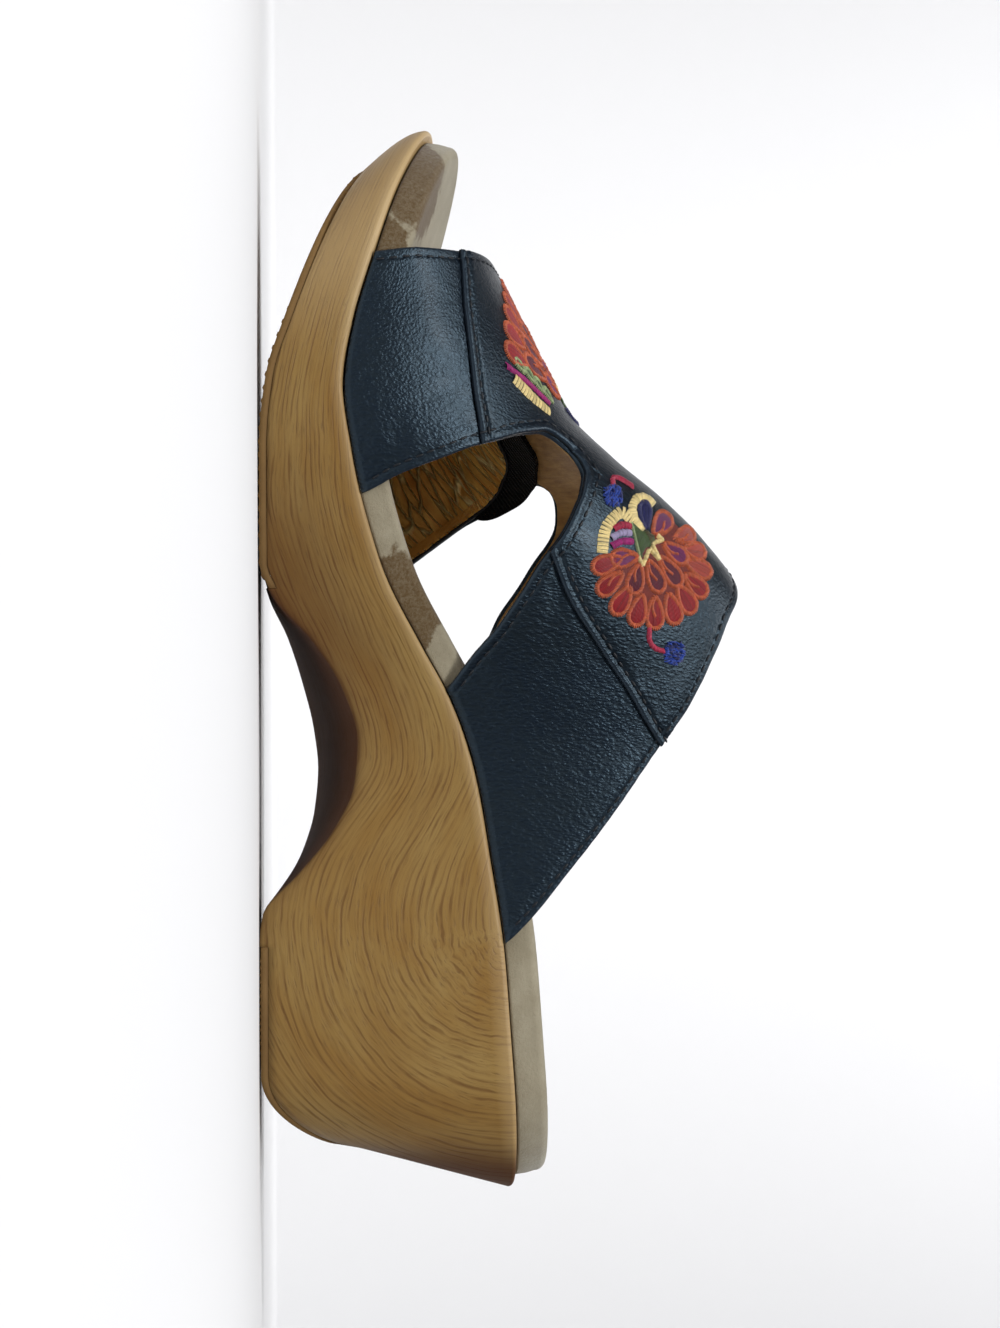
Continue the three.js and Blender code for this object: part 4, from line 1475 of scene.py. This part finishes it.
def makeFacing():
    s, across = bandPlaces(facing, goreLine("facing"), lambda s: 0 * s - facing["foot"])
    high = facingBase(s, across)
    ripple = facing["ripple"] * softNoise(s, across * upper["girth"] * 0.5, 5, 21)
    grids = slabGrids(s, across, high - facing["wall"] + ripple, high)
    sheet = pieceFromGrids("vampFacing", grids, goldLining)
    middle = layerPoint(s, across, high - 0.5 * facing["wall"])
    edge = np.concatenate([middle[0], middle[1:, -1]])
    piping = strands("facingPiping", [edge], facing["pipingRadius"], 8, sewing)
    folds = []
    places = np.arange(0, facing["cols"] - 1, 0.5)
    rim = [np.interp(places, np.arange(facing["cols"]), row) for row in (s[0], across[0])]
    for start, level in zip(*rim):
        reach = start + np.array(facing["foldReach"])
        height = facingBase(reach, 0 * reach + level) - facing["wall"] - np.array(facing["foldHeight"])
        folds.append(layerPoint(reach, 0 * reach + level, height))
    return sheet, piping, strands("facingComb", folds, facing["foldRadius"], 5, goldLining)


finishPiece(makeGore(), ["elastic_gore"])
for piece, slot in zip(makeFacing(), ("lining", "thread", "thread")):
    finishPiece(piece)


# Seam and edge stitching
stitching = {
    "pitch": 2.6,
    "halfLength": 0.95,
    "thickness": 0.3,
    "edgeInset": 2.0,
    "lift": 0.06,
    "reach": 0.985,
    "panelMargin": 0.6,
    "endTrim": 3,
    "seamTrim": 12,
}


def onPanel(across, column, row):
    return np.abs(across) < seamTable[column][row] - stitching["panelMargin"] / upper["girth"]


def surfaceLine(s, across, covered):
    # splits a line where it passes from the sides onto the panel, and lays it on what it sews
    flat = lastPoint(s, across)
    away = distanceTo(edgeTree, flat)
    height = np.where(covered, panelTop(s, across, away), leatherTop(s, across, away)) + stitching["lift"]
    points = layerPoint(s, across, height)
    cuts = np.nonzero(np.diff(covered.astype(int)))[0] + 1
    trim = stitching["endTrim"]
    return [part[trim:-trim] for part in np.split(points, cuts) if len(part) > 4 * trim]


def makeStitches():
    inset, reach = stitching["edgeInset"], stitching["reach"]
    lines = []
    line = np.linspace(-reach, reach, 500)
    for column, seam, shift in (("toe", "toeward", -inset), ("heel", "heelward", inset)):
        lines += surfaceLine(edgePlace(line, column) + shift, line, onPanel(line, seam, -1))
    inside = slice(stitching["seamTrim"], -stitching["seamTrim"])
    for side in (1, -1):
        s, across = openingPath(side, reach, inset, 260)
        lines += surfaceLine(s, across, onPanel(across, "toeward", 0))
        for column in ("toeward", "heelward"):
            s, across = seamPath(column, side)
            across = across - side * panel["beadInset"] / (0.96 * upper["girth"])
            lines += surfaceLine(s[inside], across[inside], np.ones(len(s[inside]), dtype=bool))
    values = {"Pitch": stitching["pitch"] * mm, "Long": stitching["halfLength"] * mm,
              "Thick": stitching["thickness"] * mm}
    return applyTree(lineObject("stitches", lines), stitchTree, values, sewing)


finishPiece(makeStitches())


# Embroidered flowers on the panel, drawn flat in millimetres and laid on the leather strand by strand
embroidery = {
    "threadRadius": 0.155,
    "spacing": 0.29,
    "lift": 0.12,
    "outlineWidth": 0.95,
    "outlineStep": 0.36,
    "unevenness": 0.22,
    "tasselStitches": 150,
    "petalTaper": (0.8, 0.34),
    "combSpread": 0.24,
    "orange": colour(188, 88, 50),
    "rust": colour(124, 42, 28),
    "ember": colour(158, 52, 34),
    "red": colour(146, 16, 28),
    "crimson": colour(172, 34, 70),
    "maroon": colour(92, 14, 42),
    "purple": colour(108, 24, 84),
    "magenta": colour(160, 24, 112),
    "lavender": colour(172, 160, 196),
    "cream": colour(228, 206, 142),
    "navy": colour(14, 20, 84),
    "blue": colour(20, 62, 158),
    "deepBlue": colour(10, 26, 92),
    "green": colour(58, 82, 34),
    "olive": colour(74, 66, 30),
    "paleGreen": colour(150, 168, 118),
}


def bendPath(points, count=40):
    # a smooth path through a few given points
    points = np.array(points, dtype=float)
    padded = np.concatenate([[2 * points[0] - points[1]], points, [2 * points[-1] - points[-2]]])
    at = np.linspace(0, len(points) - 1 - 1e-9, count)
    base = at.astype(int)
    t = (at - base)[:, None]
    a, b, c, d = (padded[base + k] for k in range(4))
    square = (2 * a - 5 * b + 4 * c - d) * t ** 2
    return 0.5 * (2 * b + (c - a) * t + square + (3 * b - a - 3 * c + d) * t ** 3)


def alongPath(path, step):
    # spots at even steps, and the path's heading there
    length = np.concatenate([[0], np.cumsum(np.hypot(*np.diff(path, axis=0).T))])
    at = np.arange(step / 2, length[-1], step)
    spots, ahead, behind = (np.stack([np.interp(at + shift, length, path[:, k]) for k in (0, 1)], axis=-1)
                            for shift in (0, 0.1, -0.1))
    way = ahead - behind
    return spots, way / np.maximum(np.linalg.norm(way, axis=-1, keepdims=True), 1e-6)


def heading(angle):
    return np.array([math.cos(angle), math.sin(angle)])


def beside(way):
    return np.array([-way[1], way[0]])


class Needlework:
    # gathers strands as flat start and end points with a lift and a colour
    def __init__(self, seed):
        self.starts, self.ends, self.lifts, self.colours = [], [], [], []
        self.random = np.random.default_rng(seed)

    def strand(self, start, end, lift, shade):
        jitter = 1 + self.random.uniform(-1, 1) * embroidery["unevenness"]
        self.starts.append(start)
        self.ends.append(end)
        self.lifts.append(lift * self.random.uniform(0.85, 1.15))
        self.colours.append(tuple(value * jitter for value in shade[:3]) + (1.0,))

    def rope(self, path, width, shade, step=None, slant=0.55, lift=0.42):
        spots, ways = alongPath(np.asarray(path), step or embroidery["outlineStep"])
        for spot, way in zip(spots, ways):
            reach = width / 2 * self.random.uniform(0.85, 1.15) * (beside(way) + slant * way)
            self.strand(spot - reach, spot + reach, lift, shade)

    def comb(self, path, width, shade, pitch=0.85, lift=0.3):
        spots, ways = alongPath(np.asarray(path), pitch)
        for spot, way in zip(spots, ways):
            reach = beside(way) * (width / 2 * self.random.uniform(0.9, 1.1))
            for shift in (-embroidery["combSpread"], 0.0, embroidery["combSpread"]):
                middle = spot + way * shift
                self.strand(middle - reach, middle + reach, lift, shade)

    def fill(self, ring, angle, shade, lift=0.3):
        turn = np.array([heading(angle), beside(heading(angle))])
        flat = np.asarray(ring) @ turn.T
        after = np.roll(flat, -1, axis=0)
        spacing = embroidery["spacing"]
        for level in np.arange(flat[:, 1].min() + spacing / 2, flat[:, 1].max(), spacing):
            crossing = (flat[:, 1] > level) != (after[:, 1] > level)
            share = (level - flat[crossing, 1]) / (after[crossing, 1] - flat[crossing, 1])
            edges = np.sort(flat[crossing, 0] + share * (after[crossing, 0] - flat[crossing, 0]))
            for start, end in zip(edges[::2], edges[1::2]):
                if end - start > 0.25:
                    ends = np.array([[start, level], [end, level]]) @ turn
                    self.strand(ends[0], ends[1], lift, shade)

    def petal(self, middle, angle, length, width, shade, rim, curl=0.0):
        t = np.linspace(0, 2 * np.pi, 40, endpoint=False)
        along = length / 2 * np.cos(t)
        narrow, wide = embroidery["petalTaper"]
        over = width / 2 * np.sin(t) * (narrow + wide * np.cos(t))
        way = heading(angle)
        side = beside(way)
        ring = np.asarray(middle) + along[:, None] * way + over[:, None] * side
        self.fill(ring, angle, shade)
        self.rope(np.concatenate([ring, ring[:2]]), embroidery["outlineWidth"], rim)
        if curl:
            reach = np.linspace(-0.5, 0.12, 12)
            bend = curl * 0.16 * width * np.sin(np.linspace(0, np.pi, 12))
            middleLine = np.asarray(middle) + reach[:, None] * length * way + bend[:, None] * side
            self.rope(middleLine, 0.6, rim, lift=0.6)

    def tassel(self, root, angle, length, width, shades):
        way = heading(angle)
        for number in range(embroidery["tasselStitches"]):
            along = self.random.uniform(0.0, 0.9)
            bulge = math.sqrt(max(1 - (2 * along - 0.9) ** 2, 0.1))
            over = self.random.uniform(-0.5, 0.5) * width * bulge
            middle = np.asarray(root) + along * length * way + over * beside(way)
            turn = angle + self.random.uniform(-0.9, 0.9)
            reach = self.random.uniform(0.35, 0.7) * heading(turn)
            lift = self.random.uniform(0.2, 0.75)
            self.strand(middle - reach, middle + reach, lift, shades[number % 3 == 0])

    def sew(self, name, toSpot):
        # toSpot turns flat millimetres into station and across
        steps = np.linspace(0, 1, 6)[:, None, None]
        flat = np.array(self.starts) * (1 - steps) + np.array(self.ends) * steps
        s, across = toSpot(flat[..., 0], flat[..., 1])
        rise = np.sqrt(1 - (2 * steps[..., 0] - 1) ** 2 * 0.96)
        height = panel["high"] + panel["creaseShare"] * creaseRelief(s, across) - 0.1
        height = height + (embroidery["lift"] + np.array(self.lifts)) * rise
        points = layerPoint(s, across, height)
        lines = [points[:, k] for k in range(points.shape[1])]
        return strands(name, lines, embroidery["threadRadius"], 5, floss, self.colours)


def sideSpot(x, z):
    # station and across of the panel's outside that shows at x and z from the inner side
    s, level = x, z
    for _ in range(6):
        base, crest = crossSection(s, 1)[1:]
        up = np.clip((level - base) / (crest - base), 0.001, 0.995)
        across = 1 - np.arcsin(up ** (upperCut["innerRoundness"] / 2)) * 2 / np.pi
        found = layerPoint(s, across, panel["high"])
        s = s + x - found[..., 0]
        level = level + z - found[..., 2]
    return s, np.clip(across, 0.02, 1)


# Flat places are millimetres from the flower's middle, first up the shoe, then toward the heel
strapFlower = {
    "middle": (149.5, 88.2),
    "ground": [(-11.2, 3.6), (-9.2, 9.4), (-5.0, 14.2), (1.0, 16.8), (6.4, 15.6), (10.4, 11.2), (11.6, 5.0),
               (8.6, -2.2), (4.8, -6.4), (1.0, -3.0), (-4.0, 2.0)],
    "innerPetals": [
        ((-7.0, 3.0), 3.05, 6.2, 4.4, "purple", 1),
        ((-4.3, 7.6), 1.8, 6.8, 4.2, "maroon", 1),
        ((0.1, 7.0), 1.15, 7.6, 4.2, "maroon", 1),
        ((3.9, 5.9), 0.93, 8.0, 4.1, "maroon", 1),
        ((5.3, 1.7), 0.62, 6.8, 4.1, "purple", 1),
        ((2.4, -4.7), -0.85, 6.4, 4.9, "purple", 1),
    ],
    "outerRadius": (9.9, 5.3),
    "outerAngles": (159, 140, 121, 104, 89, 73, 58, 42, 25, 7, -15),
    "outerPetal": (7.0, 4.3),
    "comb": [(-12.2, 2.0), (-11.6, -2.6), (-10.1, -5.2), (-7.4, -7.2), (-5.0, -5.6)],
    "bands": [
        ([(-9.4, -3.4), (-7.4, -4.4), (-5.3, -4.2)], 1.5, "crimson"),
        ([(-10.0, -1.4), (-7.8, -2.6), (-5.1, -2.6)], 1.4, "lavender"),
        ([(-10.0, 0.4), (-7.6, -0.7), (-4.9, -0.7)], 1.4, "magenta"),
    ],
    "loop": [(-2.2, -3.4), (-4.2, -5.6), (-4.6, -8.6), (-3.0, -10.6), (-0.6, -10.6), (1.2, -8.9)],
    "navyPetal": ((-1.6, -6.7), -1.55, 6.2, 3.2),
    "calyx": [(-5.2, -5.0), (-2.6, -3.5), (0.3, -2.0), (0.5, -0.9), (-0.6, 0.4), (-1.9, 0.6), (-3.3, 3.2)],
    "zigzag": [(-3.7, 2.6), (-2.8, 4.8), (-1.0, 0.9), (1.3, 3.3), (-0.4, -0.3), (2.3, -1.1), (0.9, -2.2)],
    "lowStem": [(-0.9, 18.2), (-0.9, 21.2), (0.3, 23.0), (2.6, 23.9)],
    "lowTassel": ((3.0, 23.9), 0.15, 4.6, 5.2),
    "highStem": [(-4.0, -13.2), (-6.8, -14.8), (-8.8, -15.0), (-9.1, -13.2)],
    "highTassel": ((-9.2, -13.0), 1.6, 4.6, 4.2),
}


def makeStrapFlower():
    work = Needlework(3)
    look = embroidery
    work.fill(strapFlower["ground"], 0.6, look["rust"], 0.0)
    length, width = strapFlower["outerPetal"]
    for k, degrees in enumerate(strapFlower["outerAngles"]):
        turn = math.radians(degrees)
        radius = strapFlower["outerRadius"][0] + strapFlower["outerRadius"][1] * math.sin(turn)
        shade = "red" if degrees > 30 else "ember"
        reach = length * (1 if degrees > 20 else 0.8)
        curl = 1 if k % 3 == 1 else 0
        work.petal(radius * heading(turn), turn, reach, width, look[shade], look["orange"], curl)
    for middle, turn, length, width, shade, curl in strapFlower["innerPetals"]:
        work.petal(middle, turn, length, width, look[shade], look["orange"], curl)
    work.comb(bendPath(strapFlower["comb"]), 2.5, look["cream"])
    for path, width, shade in strapFlower["bands"]:
        work.rope(bendPath(path), width, look[shade], 0.3, 0.1)
    middle, turn, length, width = strapFlower["navyPetal"]
    work.petal(middle, turn, length, width, look["navy"], look["navy"])
    work.comb(bendPath(strapFlower["loop"]), 2.0, look["cream"], 0.7)
    work.fill(strapFlower["calyx"], -1.0, look["green"], 0.4)
    work.fill(strapFlower["calyx"][1:5], 0.4, look["olive"], 0.5)
    work.rope(bendPath(strapFlower["calyx"][:1] + strapFlower["calyx"][-1:]), 0.5, look["paleGreen"])
    work.rope(np.array(strapFlower["zigzag"]), 0.8, look["cream"], 0.3, 0.3, 0.6)
    for key in ("lowStem", "highStem"):
        work.rope(bendPath(strapFlower[key]), 1.0, look["crimson"], 0.3, 0.8)
    for key in ("lowTassel", "highTassel"):
        root, turn, length, width = strapFlower[key]
        work.tassel(root, turn, length, width, (look["blue"], look["deepBlue"]))
    return work


def strapSpot(side):
    def toSpot(up, down):
        s, across = sideSpot(strapFlower["middle"][0] - down, strapFlower["middle"][1] + up)
        return s, side * across
    return toSpot


for name, side in (("strapFlowerInner", 1), ("strapFlowerOuter", -1)):
    finishPiece(makeStrapFlower().sew(name, strapSpot(side)))


# Flat places are millimetres from the base of the fan, first across the vamp, then toward the toe
vampFlower = {
    "base": 176.0,
    "across": 65.6,
    "rings": [
        {"radius": 29.6, "count": 13, "fan": 61, "petal": (7.2, 5.2), "shade": "red", "curl": 0},
        {"radius": 22.4, "count": 10, "fan": 58, "petal": (8.0, 5.0), "shade": "maroon", "curl": 1},
        {"radius": 14.4, "count": 7, "fan": 56, "petal": (7.4, 4.6), "shade": "purple", "curl": 1},
    ],
    "navyPetals": [((-5.0, 1.0), 2.6, 6.0, 3.0), ((5.0, 1.0), 0.5, 6.0, 3.0)],
    "calyx": [(0.0, -2.5), (3.0, 1.5), (5.4, 6.6), (2.6, 6.0), (0.0, 9.6), (-2.6, 6.0), (-5.4, 6.6),
              (-3.0, 1.5)],
    "zigzag": [(-7.0, 7.0), (-5.6, 10.2), (-3.2, 8.0), (0.0, 12.0), (3.2, 8.0), (5.6, 10.2), (7.0, 7.0)],
    "magenta": [(20.0, 4.0), (25.0, 8.2), (31.2, 12.2)],
    "comb": [(22.0, 1.8), (26.0, 5.4), (30.0, 9.6)],
    "leaves": [((18.4, 6.0), 1.3), ((21.0, 8.0), 1.2), ((23.6, 10.2), 1.1), ((26.2, 12.2), 1.0)],
    "ground": [(0.0, 6.0), (14.0, 8.0), (25.0, 14.0), (25.5, 18.0), (20.0, 25.0), (10.0, 29.5), (0.0, 31.0),
               (-10.0, 29.5), (-20.0, 25.0), (-25.5, 18.0), (-25.0, 14.0), (-14.0, 8.0)],
}


def makeVampFlower():
    work = Needlework(9)
    look = embroidery
    work.fill(vampFlower["ground"], 0.6, look["rust"], 0.0)
    for ring in vampFlower["rings"]:
        for degrees in np.linspace(-ring["fan"], ring["fan"], ring["count"]):
            turn = math.radians(90 - degrees)
            work.petal(ring["radius"] * heading(turn), turn, *ring["petal"], look[ring["shade"]],
                       look["orange"], ring["curl"])
    work.fill(vampFlower["calyx"], 1.57, look["green"], 0.4)
    work.rope(np.array(vampFlower["zigzag"]), 0.9, look["cream"], 0.3, 0.3, 0.6)
    for middle, turn, length, width in vampFlower["navyPetals"]:
        work.petal(middle, turn, length, width, look["navy"], look["navy"])
    for side in (1, -1):
        flip = np.array([side, 1])
        work.rope(bendPath(vampFlower["magenta"]) * flip, 1.3, look["magenta"], 0.3, 0.4)
        work.comb(bendPath(vampFlower["comb"]) * flip, 3.0, look["cream"])
        for middle, turn in vampFlower["leaves"]:
            lean = turn if side > 0 else math.pi - turn
            work.petal(np.array(middle) * flip, lean, 3.4, 2.0, look["green"], look["paleGreen"])
    return work


def vampSpot(over, toward):
    return vampFlower["base"] + toward, over / vampFlower["across"]


finishPiece(makeVampFlower().sew("vampFlower", vampSpot))


# Floor that sweeps up to a plain backdrop
studio = {
    "halfWidth": 3.0,
    "front": 1.2,
    "back": -1.5,
    "sweep": 0.5,
    "height": 2.4,
    "paper": (0.78, 0.78, 0.79, 1.0),
    "lights": [  # name, place, aim, watts and size in metres
        ("key", (0.65, 0.80, 1.03), (0.06, 0.0, 0.05), 6.6, 0.28),
        ("secondKey", (0.08, 1.03, 1.04), (0.0, 0.0, 0.08), 8.4, 0.26),
        ("top", (0.0, 0.0, 1.6), (0.0, 0.0, 0.0), 9.5, 1.0),
        ("backdropLight", (0.0, -0.5, 0.95), (0.0, -1.5, 0.5), 10.0, 0.5),
    ],
    "ambient": (0.5, 0.5, 0.51, 1.0),
    "ambientStrength": 0.22,
    "eye": (0.01575, 0.640, 0.0063),
    "aim": (0.0, 0.0, 0.056),
    "up": (1.0, 0.0, 0.0),
    "lens": 74.4,
}


def makeBackdrop():
    profile = [(studio["front"], 0.0), (0.6, 0.0), (0.0, 0.0), (studio["back"] + studio["sweep"], 0.0)]
    for turn in np.linspace(0, math.pi / 2, 24)[1:]:
        profile.append((studio["back"] + studio["sweep"] * (1 - math.sin(turn)),
                        studio["sweep"] * (1 - math.cos(turn))))
    profile.append((studio["back"], studio["height"]))
    points = [(x, y, z) for x in (-studio["halfWidth"], studio["halfWidth"]) for y, z in profile]
    count = len(profile)
    faces = [(k, k + 1, k + 1 + count, k + count) for k in range(count - 1)]
    mesh = bpy.data.meshes.new("backdrop")
    mesh.from_pydata(points, [], faces)
    mesh.polygons.foreach_set("use_smooth", np.ones(len(faces), dtype=bool))
    mesh.materials.append(newMaterial("backdropPaper", Specular_IOR_Level=0.1, Base_Color=studio["paper"],
                                      Roughness=0.9)[0])
    return newPiece("backdrop", mesh)


def makeLight(name, at, towards, power, size):
    lamp = bpy.data.lights.new(name, "AREA")
    lamp.shape = "DISK"
    lamp.size = size
    lamp.energy = power
    piece = newPiece(name, lamp)
    piece.location = at
    piece.rotation_euler = (Vector(towards) - Vector(at)).to_track_quat("-Z", "Y").to_euler()
    return piece


def makeCamera(eye, aim, up, lens):
    camera = bpy.data.cameras.new("camera")
    camera.lens = lens
    camera.sensor_width = 36.0
    camera.clip_start = 0.02
    camera.clip_end = 20.0
    piece = newPiece("camera", camera)
    back = (Vector(eye) - Vector(aim)).normalized()
    right = Vector(up).cross(back).normalized()
    turned = Matrix((right, back.cross(right), back)).transposed().to_4x4()
    piece.matrix_world = Matrix.Translation(eye) @ turned
    bpy.context.scene.camera = piece


staged = [makeBackdrop()] + [makeLight(*light) for light in studio["lights"]]
makeCamera(studio["eye"], studio["aim"], studio["up"], studio["lens"])

world = bpy.data.worlds.new("world")
world.use_nodes = True
background = world.node_tree.nodes["Background"].inputs
background["Color"].default_value = studio["ambient"]
background["Strength"].default_value = studio["ambientStrength"]
bpy.context.scene.world = world
bpy.context.scene.view_settings.view_transform = "Standard"
